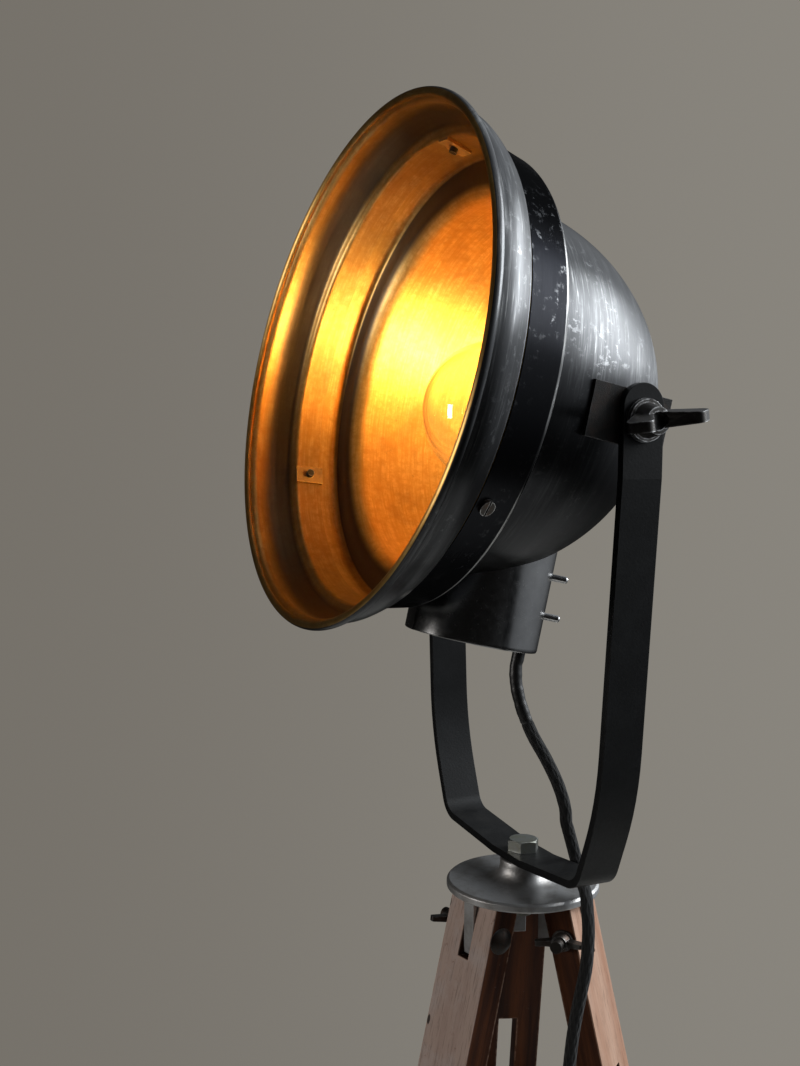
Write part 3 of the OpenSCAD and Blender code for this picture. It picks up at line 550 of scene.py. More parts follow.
bulbValues = {
    "radius": 45.0, "glass": 0.8, "forward": 27.0, "up": -4.0, "cap": 13.4, "capBelow": 60.0, "round": 96,
    "shoulder": 6.0,  # the sphere ends this far out from the cap's radius
    "throat": [(2.4, 1.0), (0.4, -5.0)],  # out from the cap's radius and up from the sphere's foot
    "capLead": 4.0, "sphereSteps": 40, "throatSteps": 6, "sharpDeg": 60.0,
}


def makeGlobe(b):
    # sphere, then a soft neck down to the cap, turned about the bulb's own upright axis
    cap, radius, wide = b["cap"], b["radius"], b["cap"] + b["shoulder"]
    low = math.acos(wide / radius)
    outer = np.vstack([
        arc(0, 0, radius, 90, -math.degrees(low), b["sphereSteps"]),
        smoothRoute([
            (wide, -radius * math.sin(low)),
            *((cap + out, up - radius) for out, up in b["throat"]),
            (cap, b["capLead"] - b["capBelow"]), (cap, -b["capBelow"]),
        ], b["throatSteps"])[1:],
    ])
    outer[0, 0] = 0.0
    shrink = 1 - b["glass"] / radius
    inner = np.stack([np.maximum(outer[:, 0] - b["glass"], 0.0), outer[:, 1] * shrink], -1)
    loop = np.vstack([outer, inner[::-1]])
    turn = np.linspace(0, 2 * math.pi, b["round"], endpoint=False)
    x, s = loop[:, 0:1] * np.cos(turn), b["forward"] + loop[:, 0:1] * np.sin(turn)
    points = headToRow(x, s, b["up"] + loop[:, 1:2] + 0 * turn)
    faces = gridFaces(len(loop), b["round"]).reshape(-1, 4)
    joined = np.stack([np.arange(b["round"]), np.roll(np.arange(b["round"]), -1)], -1)
    closing = np.hstack([joined[:, ::-1], joined + (len(loop) - 1) * b["round"]])
    piece = makePiece("bulbGlobe", points, np.vstack([faces, closing]))
    mergeDoubles(piece, b["sharpDeg"])
    return piece


bulbGlobe = makeGlobe(bulbValues)
headPieces = {
    "reflector_bowl": reflectorShell, "bezel_ring": bezelShell,
    "neck_tube": neckShell, "bulb_glass": bulbGlobe,
}
for node, piece in headPieces.items():
    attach(piece, bodyOf[node])
    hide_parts(node)
print("lamp head made")

edgeValues = {  # bevel width in millimetres
    "yoke": 0.7, "head_plate": 0.8, "tilt_nut_right": 0.8, "tilt_nut_left": 0.8,
    "tilt_bracket_right": 0.5, "tilt_bracket_left": 0.5,
}
legs = (1, 2, 3)
for part, width in {"upper": 1.0, "lower": 1.0, "collar": 0.5, "ferrule": 0.4}.items():
    edgeValues.update({f"leg_{leg}_{part}": width for leg in legs})
easeValues = {"flatDeg": 0.4, "sharpDeg": 30.0, "bevelDeg": 35.0, "segments": 2}
legValues = {"turnDeg": -81.0, "splayDeg": 13.5, "hingeOut": 36.0, "hingeDown": 28.0}


def softened(node, width, e):  # a copy of a CAD node, merged and cleared of flat edges, with its edges eased
    parts = node.split("_")
    mesh = nodes[node].data.copy()
    work = bmesh.new()
    work.from_mesh(mesh)
    bmesh.ops.remove_doubles(work, verts=work.verts, dist=1e-6)
    bmesh.ops.dissolve_limit(work, angle_limit=math.radians(e["flatDeg"]), verts=work.verts, edges=work.edges)
    work.to_mesh(mesh)
    work.free()
    piece = place(parts[0] + "".join(word.capitalize() for word in parts[1:]) + "Eased", mesh)
    shade(mesh, e["sharpDeg"])
    bevel = piece.modifiers.new("easedEdges", "BEVEL")
    bevel.width = width * millimetre
    bevel.segments = e["segments"]
    bevel.limit_method = "ANGLE"
    bevel.angle_limit = math.radians(e["bevelDeg"])
    bevel.harden_normals = True
    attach(piece, bodyOf[node])
    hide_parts(node)
    return piece


def markPlank(piece, leg, values):  # along, across and outward from the hinge, in metres
    turn = math.radians(values["turnDeg"] + 360 / len(legs) * (leg - 1))
    splay = math.radians(values["splayDeg"])
    out = np.array([math.cos(turn), math.sin(turn), 0])
    up = np.array([0, 0, 1.0])
    hinge = plateToRow(values["hingeOut"] * out - values["hingeDown"] * up)
    along = math.sin(splay) * out - math.cos(splay) * up
    outward = math.cos(splay) * out + math.sin(splay) * up
    axes = np.stack([along, np.cross(up, out), outward])
    points = np.empty(len(piece.data.vertices) * 3)
    piece.data.vertices.foreach_get("co", points)
    layer = piece.data.attributes.new("plank", "FLOAT_VECTOR", "POINT")
    layer.data.foreach_set("vector", ((points.reshape(-1, 3) - hinge) @ axes.T).astype(np.float32).ravel())


eased = {node: softened(node, width, easeValues) for node, width in edgeValues.items()}
for leg in legs:
    for half in ("upper", "lower"):
        markPlank(eased[f"leg_{leg}_{half}"], leg, legValues)
print("edges eased on", len(eased), "nodes")


def fill(tree, item, values):  # a socket is linked, anything else is set
    for key, value in values.items():
        if isinstance(value, bpy.types.NodeSocket):
            tree.links.new(value, item.inputs[key])
        else:
            item.inputs[key].default_value = value


def add(tree, kind, settings=None, values=None):
    item = tree.nodes.new("ShaderNode" + kind)
    for key, value in (settings or {}).items():
        setattr(item, key, value)
    fill(tree, item, values or {})
    return item


def calc(tree, operation, a, b=0.0):
    return add(tree, "Math", {"operation": operation}, {0: a, 1: b}).outputs[0]


def times(tree, a, b):
    return calc(tree, "MULTIPLY", a, b)


def vectorCalc(tree, operation, a, b, output="Vector"):
    return add(tree, "VectorMath", {"operation": operation}, {0: a, 1: b}).outputs[output]


def spread(tree, value, low, high):  # 0 at low and 1 at high, smooth between
    given = {"Value": value, "From Min": low, "From Max": high}
    return add(tree, "MapRange", {"interpolation_type": "SMOOTHSTEP"}, given).outputs["Result"]


def between(tree, factor, low, high):
    return add(tree, "Mix", {"data_type": "FLOAT"}, {0: factor, 2: low, 3: high}).outputs[0]


def noise(tree, vector, scale, detail, rough):
    given = {"Vector": vector, "Scale": scale, "Detail": detail, "Roughness": rough}
    return add(tree, "TexNoise", None, given).outputs["Fac"]


def stretch(tree, vector, factors):
    return vectorCalc(tree, "MULTIPLY", vector, factors)


def colourMix(tree, factor, a, b):
    return add(tree, "Mix", {"data_type": "RGBA"}, {0: factor, 6: a, 7: b}).outputs[2]


def readAttribute(tree, name, output="Fac"):
    return add(tree, "Attribute", {"attribute_name": name}).outputs[output]


def objectPlace(tree):
    return add(tree, "TexCoord").outputs["Object"]


def bumped(tree, strength, depth, height):
    given = {"Strength": strength, "Distance": depth, "Height": height}
    return add(tree, "Bump", None, given).outputs[0]


def makeGroup(name, inputs, build):  # build gives the group's outputs by name
    group = bpy.data.node_groups.new(name, "ShaderNodeTree")
    for label in inputs:
        group.interface.new_socket(name=label, in_out="INPUT", socket_type="NodeSocketFloat")
    made = build(group, group.nodes.new("NodeGroupInput").outputs)
    for label in made:
        group.interface.new_socket(name=label, in_out="OUTPUT", socket_type="NodeSocketFloat")
    fill(group, group.nodes.new("NodeGroupOutput"), made)
    return group


# a noise is given as scale, detail and roughness, a mask as where it is 0 and where it is 1
wearValues = {"samples": 6, "turned": (0.995, 0.86), "spot": (240.0, 5.0, 0.7), "broken": (0.36, 0.60)}


def edgeWearMarks(group, given):  # where the rounded normal leaves the true one, broken up by noise
    w = wearValues
    rounded = add(group, "Bevel", {"samples": w["samples"]}, {"Radius": given["Radius"]}).outputs["Normal"]
    true = add(group, "NewGeometry").outputs["Normal"]
    turned = spread(group, vectorCalc(group, "DOT_PRODUCT", rounded, true, "Value"), *w["turned"])
    spot = noise(group, objectPlace(group), *w["spot"])
    worn = times(group, turned, spread(group, spot, *w["broken"]))
    return {"Wear": times(group, worn, given["Amount"])}


mottleValues = {
    "big": (1.0, 6.0, 0.65), "grain": (14.0, 3.0, 0.6), "fine": (5.0, 5.0, 0.75),
    "patches": (0.42, 0.68), "specks": (0.62, 0.72),
}


def mottleMarks(group, given):  # cloudy patches, fine grain and rare specks
    m = mottleValues
    coords = objectPlace(group)
    big, grain, fine = (
        noise(group, coords, times(group, given["Scale"], share), detail, rough)
        for share, detail, rough in (m["big"], m["grain"], m["fine"])
    )
    return {
        "Patches": spread(group, big, *m["patches"]), "Grain": grain,
        "Specks": spread(group, fine, *m["specks"]),
    }


dustValues = {
    "facing": (0.55, 1.0), "cloud": (55.0, 5.0, 0.7), "lying": (0.3, 0.75), "colour": (0.30, 0.28, 0.25, 1),
}


def dustMarks(group, given):  # lies on what faces up
    d = dustValues
    facing = add(group, "SeparateXYZ", None, {0: add(group, "NewGeometry").outputs["Normal"]}).outputs["Z"]
    cloud = noise(group, objectPlace(group), *d["cloud"])
    lying = times(group, spread(group, facing, *d["facing"]), spread(group, cloud, *d["lying"]))
    return {"Dust": times(group, lying, given["Amount"])}


spunMarkValues = {  # stretch round the axis and along the profile, then detail and roughness
    "Lines": ((4.0, 4.0, 620.0), 5.0, 0.70),
    "Bands": ((1.6, 1.6, 120.0), 4.0, 0.60),
    "Rubs": ((26.0, 26.0, 210.0), 7.0, 0.72),
}


def spunLayers(group, given):  # marks that run round the head's axis: fine lines, broad bands, rubbed patches
    east, north, run = (readAttribute(group, name) for name in ("east", "north", "profile"))
    ring = add(group, "CombineXYZ", None, {0: east, 1: north, 2: run}).outputs[0]
    return {
        label: noise(group, stretch(group, ring, factors), given["Scale"], detail, rough)
        for label, (factors, detail, rough) in spunMarkValues.items()
    }


grainValues = {  # stretch along, across and outward, then detail and roughness
    "figure": ((5.0, 90.0, 90.0), 6.0, 0.62),
    "pores": ((70.0, 1500.0, 1500.0), 3.0, 0.6),
    "scratches": ((420.0, 60.0, 60.0), 6.0, 0.8),
    "holeCells": (22.0, 48.0, 0.0),
    "poreMask": (0.52, 0.70), "scratchMask": (0.66, 0.74), "holeMask": (0.085, 0.060),
    "outerMask": (0.0078, 0.0088),  # metres outward from the plank's middle
}


def grainMarks(group, given):  # grain, pores, scratches and old nail holes along a plank
    g = grainValues
    plank = readAttribute(group, "plank", "Vector")
    shift = add(group, "CombineXYZ", None, {axis: given["Seed"] for axis in range(3)}).outputs[0]
    moved = vectorCalc(group, "ADD", plank, shift)
    figure, pores, scratches = (
        noise(group, stretch(group, moved, factors), 1.0, detail, rough)
        for factors, detail, rough in (g["figure"], g["pores"], g["scratches"])
    )
    cells = add(group, "TexVoronoi", None, {"Vector": stretch(group, moved, g["holeCells"]), "Scale": 1.0})
    outward = add(group, "SeparateXYZ", None, {0: plank}).outputs["Z"]
    return {
        "Figure": figure,
        "Pores": spread(group, pores, *g["poreMask"]),
        "Scratches": spread(group, scratches, *g["scratchMask"]),
        "Holes": spread(group, cells.outputs["Distance"], *g["holeMask"]),
        "Outer": spread(group, outward, *g["outerMask"]),
    }


weaveValues = {"fuzz": (2600.0, 2.0, 0.5)}


def weaveMarks(group, given):  # two sets of threads that cross
    around = times(group, readAttribute(group, "around"), given["Threads"])
    along = calc(group, "DIVIDE", times(group, readAttribute(group, "run"), 2 * math.pi), given["Lay"])
    over = calc(group, "SINE", calc(group, "ADD", around, along))
    under = calc(group, "SINE", calc(group, "SUBTRACT", around, along))
    fuzz = noise(group, objectPlace(group), *weaveValues["fuzz"])
    return {"Height": calc(group, "MAXIMUM", over, under), "Fuzz": fuzz}


edgeWear = makeGroup("edgeWear", ["Radius", "Amount"], edgeWearMarks)
mottle = makeGroup("mottle", ["Scale"], mottleMarks)
dust = makeGroup("dust", ["Amount"], dustMarks)
spunMarks = makeGroup("spunMarks", ["Scale"], spunLayers)
woodGrain = makeGroup("woodGrain", ["Seed"], grainMarks)
weave = makeGroup("weave", ["Threads", "Lay"], weaveMarks)


def newMaterial(name):
    paint = bpy.data.materials.new(name)
    paint.use_nodes = True
    return paint, paint.node_tree, paint.node_tree.nodes["Principled BSDF"]


def use(tree, group, values):
    return add(tree, "Group", {"node_tree": group}, values).outputs


def dusted(tree, colour, amount):
    return colourMix(tree, use(tree, dust, {"Amount": amount})["Dust"], colour, dustValues["colour"])


def grey(level, warm=0.0):
    return (level * (1 + warm), level, level * (1 - warm), 1)


def dimmed(colour, share):
    return (*(share * c for c in colour[:3]), 1)


metalBase = {  # each metal below lists only what differs
    "patches": 0.7, "wear": 0.8, "rough": 0.40, "smoother": 0.08, "rougher": 0.12, "wornRough": 0.32,
    "metallic": 1.0, "specular": 0.5, "edge": 0.0009, "scale": 60.0, "specks": 0.2, "dust": 0.12,
    "bump": 0.12, "bumpDepth": 0.0006,
}
metalValues = {
    "neck": {
        "colour": grey(0.26), "patch": grey(0.16), "worn": grey(0.50),
        "patches": 0.6, "wear": 0.5, "rough": 0.22, "scale": 18.0, "specks": 0.03, "bump": 0.03,
    },
    "neck_base": {
        "colour": grey(0.012), "patch": grey(0.03), "worn": grey(0.3),
        "patches": 0.6, "wear": 0.3, "rough": 0.5, "metallic": 0.6,
    },
    "yoke_paint": {
        "colour": grey(0.0045, -0.06), "patch": grey(0.009, -0.06), "worn": grey(0.09),
        "wear": 0.55, "rough": 0.46, "metallic": 0.1, "specular": 0.2,
        "specks": 0.05, "scale": 45.0, "dust": 0.03,
    },
    "bracket": {
        "colour": grey(0.010, 0.05), "patch": (0.030, 0.018, 0.013, 1), "worn": grey(0.30),
        "patches": 0.75, "wear": 0.6, "rough": 0.55, "metallic": 0.55, "scale": 110.0, "bump": 0.4,
    },
    "stud_steel": {
        "colour": grey(0.22), "patch": grey(0.10, 0.1), "worn": grey(0.6),
        "patches": 0.6, "rough": 0.34,
    },
    "wing_nut": {
        "colour": grey(0.10, 0.05), "patch": grey(0.03, 0.15), "worn": grey(0.78),
        "patches": 0.8, "wear": 1.0, "rough": 0.32, "edge": 0.0016, "scale": 90.0,
    },
    "washer_steel": {"colour": grey(0.10), "patch": grey(0.04, 0.1), "worn": grey(0.5)},
    "screw_steel": {
        "colour": grey(0.05, 0.08), "patch": (0.09, 0.05, 0.03, 1), "worn": grey(0.55),
        "patches": 0.6, "wear": 1.0, "rough": 0.38, "scale": 160.0,
    },
    "clip_steel": {
        "colour": (0.24, 0.12, 0.035, 1), "patch": (0.12, 0.055, 0.02, 1), "worn": (0.8, 0.55, 0.2, 1),
        "rough": 0.5, "metallic": 0.7, "scale": 160.0,
    },
    "pin_steel": {
        "colour": grey(0.62), "patch": grey(0.35), "worn": grey(0.85),
        "patches": 0.4, "rough": 0.22,
    },
    "strip_steel": {
        "colour": grey(0.42), "patch": grey(0.2, 0.1), "worn": grey(0.6),
        "patches": 0.5, "wear": 0.5,
    },
    "bulb_cap": {
        "colour": (0.66, 0.52, 0.26, 1), "patch": (0.4, 0.28, 0.12, 1), "worn": (0.9, 0.78, 0.5, 1),
        "patches": 0.5, "wear": 0.6, "rough": 0.35,
    },
    "zinc_bolt": {
        "colour": (0.56, 0.58, 0.54, 1), "patch": (0.50, 0.50, 0.36, 1), "worn": grey(0.8),
        "rough": 0.30, "scale": 120.0,
    },
    "cast_plate": {
        "colour": grey(0.46), "patch": grey(0.28, 0.05), "worn": grey(0.75),
        "patches": 0.8, "wear": 0.9, "rough": 0.46, "metallic": 0.95, "scale": 55.0, "bump": 0.3,
    },
    "leg_bolt": {
        "colour": grey(0.030, 0.1), "patch": (0.05, 0.025, 0.015, 1), "worn": grey(0.3),
        "wear": 0.6, "rough": 0.45, "metallic": 0.9, "scale": 140.0,
    },
    "leg_nut": {
        "colour": grey(0.09, 0.05), "patch": (0.06, 0.032, 0.02, 1), "worn": grey(0.45),
        "wear": 0.9, "rough": 0.42, "scale": 140.0,
    },
    "collar_steel": {
        "colour": grey(0.09, 0.05), "patch": (0.07, 0.036, 0.02, 1), "worn": grey(0.45),
        "wear": 0.9, "rough": 0.45, "metallic": 0.95,
    },
    "ferrule_steel": {
        "colour": grey(0.16, 0.04), "patch": (0.09, 0.05, 0.03, 1), "worn": grey(0.5),
        "wear": 0.9, "rough": 0.42, "metallic": 0.95,
    },
    "plug_pins": {
        "colour": (0.64, 0.60, 0.50, 1), "patch": (0.4, 0.36, 0.28, 1), "worn": grey(0.85),
        "patches": 0.4, "wear": 0.6, "rough": 0.28,
    },
}


def makeMetal(name, m):  # painted or bare metal: patches, worn edges, dust on top
    paint, tree, shader = newMaterial(name)
    marks = use(tree, mottle, {"Scale": m["scale"]})
    worn = use(tree, edgeWear, {"Radius": m["edge"], "Amount": m["wear"]})["Wear"]
    colour = colourMix(tree, times(tree, marks["Patches"], m["patches"]), m["colour"], m["patch"])
    colour = colourMix(tree, times(tree, marks["Specks"], m["specks"]), colour, m["worn"])
    colour = colourMix(tree, worn, colour, m["worn"])
    rough = between(tree, marks["Grain"], m["rough"] - m["smoother"], m["rough"] + m["rougher"])
    fill(tree, shader, {
        "Base Color": dusted(tree, colour, m["dust"]), "Metallic": between(tree, worn, m["metallic"], 1.0),
        "Roughness": between(tree, worn, rough, m["wornRough"]), "Specular IOR Level": m["specular"],
        "Normal": bumped(tree, m["bump"], m["bumpDepth"], marks["Grain"]),
    })
    return paint


spunValues = {
    "black": (0.019, 0.0195, 0.0215, 1), "steel": (0.30, 0.305, 0.31, 1), "bright": (0.66, 0.66, 0.65, 1),
    "gilt": (0.62, 0.35, 0.095, 1), "warmInsidePale": (0.86, 0.60, 0.24, 1), "brown": (0.14, 0.058, 0.022, 1),
    "soot": (0.060, 0.050, 0.045, 1), "bandEdge": (0.12, 0.12, 0.125, 1), "white": (1, 1, 1, 1),
    "bands": (0.40, 0.66), "lines": (0.38, 0.68), "rubs": (0.55, 0.61), "glints": (0.58, 0.72),
    "ridges": (0.34, 0.62), "streakLines": (0.30, 0.72), "streakRubs": (0.30, 0.70), "inner": (0.4, 0.6),
    "patchScale": 26.0, "dullEdge": 0.002, "scuffs": 0.75, "lowerShare": 0.15,
    "warmInsidePatches": 0.28, "warmInsideSpecks": 0.35, "insideRougher": 0.02,
    "rough": (0.24, 0.44), "metallic": (0.96, 0.95), "brushed": 0.75, "bump": 0.12, "bumpDepth": 0.0004,
}
bowlRows = {"from": 65, "full": 68, "fade": 78, "end": 81, "dull": 77}  # painted shade ring and dull band along the profile
bowlLook = {"amount": 0.88, "sheen": 0.20, "shine": 0.75, "upperSheen": (-0.35, 0.55), "tone": 1.0}
rollPast = {"from": 0.022, "full": 0.034, "fade": 0.045, "end": 0.049}  # metres past the bezel's outer face, where the painted shade ring lies inside the rim
rollLook = {
    "amount": 0.85, "dull": 9.0, "sheen": 0.22, "shine": 1.0, "upperSheen": (-0.9, 0.2), "tone": 0.85,
}


def makeSpun(name, v, side):  # blackened steel rubbed bright outside, with a painted highlight on the upper side; inside an aged warm patina whose gold partly stands in for the bulb's warm light, with a painted shade ring
    paint, tree, shader = newMaterial(name)
    marks = use(tree, spunMarks, {"Scale": 1.0})
    patches = use(tree, mottle, {"Scale": v["patchScale"]})
    run = readAttribute(tree, "profile")

    def mask(mark, limits):
        return spread(tree, marks[mark], *v[limits])

    lined = times(tree, mask("Bands", "bands"), mask("Lines", "lines"))
    polished = spread(tree, run, side["dull"], side["dull"] - v["dullEdge"])  # the band stays black
    bare = times(tree, between(tree, lined, side["sheen"], side["shine"]), polished)
    scuffed = times(tree, mask("Rubs", "rubs"), patches["Patches"])
    upper = spread(tree, readAttribute(tree, "north"), *side["upperSheen"])  # painted highlight: the upper side, where the window light falls, gets the most bare steel
    rubbed = calc(tree, "ADD", bare, times(tree, scuffed, v["scuffs"]))
    # painted highlight: the real rubbing and scuffs are kept mostly to the upper side, with only lowerShare
    # of them below
    rubbed = times(tree, rubbed, between(tree, upper, v["lowerShare"], 1.0))
    # painted glints: fine bright lines on the bare steel of the upper side
    glints = times(tree, mask("Lines", "glints"), times(tree, bare, upper))
    ridge = times(tree, readAttribute(tree, "ridge"), mask("Bands", "ridges"))
    outside = colourMix(tree, calc(tree, "MINIMUM", rubbed, 1.0), v["black"], v["steel"])
    outside = colourMix(tree, calc(tree, "MAXIMUM", ridge, glints), outside, v["bright"])
    streaks = times(tree, mask("Lines", "streakLines"), mask("Rubs", "streakRubs"))
    # the inside's gold and amber are a warm patina, partly painted to stand in for the bulb's warm light
    gilt = colourMix(tree, streaks, v["gilt"], v["warmInsidePale"])
    gilt = colourMix(tree, 1.0 - side["tone"], gilt, v["brown"])
    gilt = colourMix(tree, times(tree, patches["Patches"], v["warmInsidePatches"]), gilt, v["brown"])
    gilt = colourMix(tree, times(tree, patches["Specks"], v["warmInsideSpecks"]), gilt, v["brown"])
    # painted shade: a dark ring over the ledge in the bowl, which the bulb's light does not reach, and over
    # the shadowed groove inside the bezel's rim
    begun, over = spread(tree, run, side["from"], side["full"]), spread(tree, run, side["end"], side["fade"])
    shadeRingMask = times(tree, times(tree, begun, over), side["amount"])
    gilt = colourMix(tree, shadeRingMask, gilt, v["soot"])
    inner = spread(tree, readAttribute(tree, "inside"), *v["inner"])
    line = between(tree, marks["Lines"], *v["rough"])
    fill(tree, shader, {
        "Base Color": colourMix(tree, inner, outside, gilt),
        "Metallic": between(tree, inner, *v["metallic"]),
        "Roughness": between(tree, inner, line, calc(tree, "ADD", line, v["insideRougher"])),
        "Specular Tint": colourMix(tree, calc(tree, "MAXIMUM", polished, inner), v["bandEdge"], v["white"]),
        "Anisotropic": v["brushed"],
        "Tangent": add(tree, "Tangent", {"direction_type": "UV_MAP", "uv_map": "sheet"}).outputs[0],
        "Normal": bumped(tree, v["bump"], v["bumpDepth"], marks["Lines"]),
    })
    return paint


woodValues = {
    "dark": (0.026, 0.007, 0.0025, 1), "brown": (0.125, 0.038, 0.011, 1), "tan": (0.34, 0.17, 0.10, 1),
    "pale": (0.48, 0.30, 0.21, 1), "grey": (0.50, 0.41, 0.375, 1), "hole": (0.015, 0.010, 0.008, 1),
    "greyingAndShade": {1: 1.0, 2: 0.12, 3: 0.3},  # how grey each leg's outer face is: weathering, and on leg 1 also painted cool shade
    "sideFigure": (0.32, 0.70), "outerFigure": (0.30, 0.68), "greyed": (0.60, 1.0), "stains": 0.6,
    "pores": 0.45, "scratches": 0.6, "holes": 0.9, "patchScale": 34.0, "edge": 0.0022, "wear": 0.8,
    "rough": (0.50, 0.72), "specular": 0.2, "bump": 0.28, "bumpDepth": 0.0006,
    "seedByLeg": 1.7, "seedByHalf": 0.9,
}


def makeWood(name, w, leg, seed):
    paint, tree, shader = newMaterial(name)
    grain = use(tree, woodGrain, {"Seed": seed})
    marks = use(tree, mottle, {"Scale": w["patchScale"]})
    worn = use(tree, edgeWear, {"Radius": w["edge"], "Amount": w["wear"]})["Wear"]
    side = colourMix(tree, spread(tree, grain["Figure"], *w["sideFigure"]), w["dark"], w["brown"])
    outer = colourMix(tree, spread(tree, grain["Figure"], *w["outerFigure"]), w["tan"], w["pale"])
    # the greyer leg 1 is partly a painted shaded copy of the same wood as the lit legs
    greyingAndShade = w["greyingAndShade"][leg]
    greyed = times(tree, between(tree, marks["Patches"], *w["greyed"]), greyingAndShade)
    outer = colourMix(tree, greyed, outer, w["grey"])
    outer = colourMix(tree, times(tree, marks["Specks"], w["stains"] * greyingAndShade), outer, w["brown"])
    colour = colourMix(tree, grain["Outer"], side, outer)
    colour = colourMix(tree, times(tree, grain["Pores"], w["pores"]), colour, w["dark"])
    colour = colourMix(tree, times(tree, grain["Scratches"], w["scratches"]), colour, w["grey"])
    colour = colourMix(tree, worn, colour, w["pale"])
    holes = times(tree, grain["Holes"], times(tree, grain["Outer"], w["holes"]))
    height = calc(tree, "SUBTRACT", grain["Figure"], calc(tree, "ADD", grain["Pores"], grain["Holes"]))
    fill(tree, shader, {
        "Base Color": colourMix(tree, holes, colour, w["hole"]),
        "Roughness": between(tree, grain["Figure"], *w["rough"]), "Specular IOR Level": w["specular"],
        "Normal": bumped(tree, w["bump"], w["bumpDepth"], height),
    })
    return paint


textileBase = {
    "show": (0.1, 1.0), "fuzzy": (0.56, 0.72), "fuzzShare": 0.5, "rough": 0.92, "sheenRough": 0.45,
    "bump": 0.5, "bumpDepth": 0.0004,
}
textileValues = {
    "cord": {
        "threads": 8.0, "lay": 0.011, "sheen": 0.10,
        "deep": grey(0.002), "top": grey(0.006), "fuzz": grey(0.020),
    },
    "tie": {
        "threads": 40.0, "lay": 0.003, "sheen": 0.2,
        "deep": grey(0.010), "top": grey(0.045), "fuzz": grey(0.07),
    },
}


def makeTextile(name, t):
    paint, tree, shader = newMaterial(name)
    threads = use(tree, weave, {"Threads": t["threads"], "Lay": t["lay"]})
    colour = colourMix(tree, spread(tree, threads["Height"], *t["show"]), t["deep"], t["top"])
    fuzzy = times(tree, spread(tree, threads["Fuzz"], *t["fuzzy"]), t["fuzzShare"])
    height = calc(tree, "ADD", threads["Height"], threads["Fuzz"])
    fill(tree, shader, {
        "Base Color": colourMix(tree, fuzzy, colour, t["fuzz"]), "Roughness": t["rough"],
        "Sheen Weight": t["sheen"], "Sheen Roughness": t["sheenRough"],
        "Normal": bumped(tree, t["bump"], t["bumpDepth"], height),
    })
    return paint


mouldedBase = {
    "scale": 90.0, "patches": 0.5, "wear": 0.3, "edge": 0.0008, "dust": 0.25,
    "smoother": 0.06, "rougher": 0.1, "bump": 0.15, "bumpDepth": 0.0004,
}
mouldedValues = {
    "grommet": {"colour": grey(0.010), "patch": grey(0.020), "worn": grey(0.05), "rough": 0.6},
    "foot_rubber": {"colour": grey(0.016), "patch": grey(0.034, 0.05), "worn": grey(0.08), "rough": 0.75},
    "plug": {"colour": grey(0.012), "patch": grey(0.018), "worn": grey(0.05), "rough": 0.42},
    "porcelain": {
        "colour": (0.72, 0.69, 0.62, 1), "patch": (0.60, 0.55, 0.46, 1), "worn": (0.5, 0.45, 0.38, 1),
        "rough": 0.22,
    },
    "sleeve": {"colour": grey(0.007), "patch": grey(0.011), "worn": grey(0.03), "rough": 0.40},
}


def makeMoulded(name, p):  # rubber, plastic, heat-shrunk sleeve or porcelain
    paint, tree, shader = newMaterial(name)
    marks = use(tree, mottle, {"Scale": p["scale"]})
    worn = use(tree, edgeWear, {"Radius": p["edge"], "Amount": p["wear"]})["Wear"]
    colour = colourMix(tree, times(tree, marks["Patches"], p["patches"]), p["colour"], p["patch"])
    colour = colourMix(tree, worn, colour, p["worn"])
    fill(tree, shader, {
        "Base Color": dusted(tree, colour, p["dust"]),
        "Roughness": between(tree, marks["Grain"], p["rough"] - p["smoother"], p["rough"] + p["rougher"]),
        "Normal": bumped(tree, p["bump"], p["bumpDepth"], marks["Grain"]),
    })
    return paint


glassValues = {
    "colour": (1.0, 0.93, 0.74, 1), "edge": (0.66, 0.38, 0.11, 1), "facing": (0.50, 0.95), "bending": 1.55,
    "filmScale": 22.0, "haze": 0.05, "warm": (1.0, 0.62, 0.18, 1), "paintedGlow": 0.06, "dim": 0.6,
}
stemValues = {**glassValues, "paintedGlow": 0.6}
filamentValues = {"colour": (1.0, 0.62, 0.22, 1), "strength": 90.0, "scale": 300.0, "dim": 0.7, "rough": 0.5}


def makeGlass(name, g):  # clear glass with a faint film, and a painted warm glow that stands in for the filament's light in the glass
    paint, tree, shader = newMaterial(name)
    film = use(tree, mottle, {"Scale": g["filmScale"]})["Patches"]
    facing = add(tree, "LayerWeight", None, {"Blend": 0.5}).outputs["Facing"]
    fill(tree, shader, {
        # painted shade: the globe's outline turns darker amber where it is seen edge-on
        "Base Color": colourMix(tree, spread(tree, facing, *g["facing"]), g["colour"], g["edge"]),
        "Transmission Weight": 1.0, "IOR": g["bending"],
        "Roughness": between(tree, film, 0.0, g["haze"]),
        # painted glow: the glass itself gives off the filament's warm light
        "Emission Color": colourMix(tree, film, dimmed(g["warm"], g["dim"]), g["warm"]),
        "Emission Strength": g["paintedGlow"],
    })
    return paint


def makeGlowing(name, g):
    paint, tree, shader = newMaterial(name)
    uneven = use(tree, mottle, {"Scale": g["scale"]})["Grain"]
    fill(tree, shader, {
        "Base Color": g["colour"], "Roughness": g["rough"], "Emission Strength": g["strength"],
        "Emission Color": colourMix(tree, uneven, dimmed(g["colour"], g["dim"]), g["colour"]),
    })
    return paint


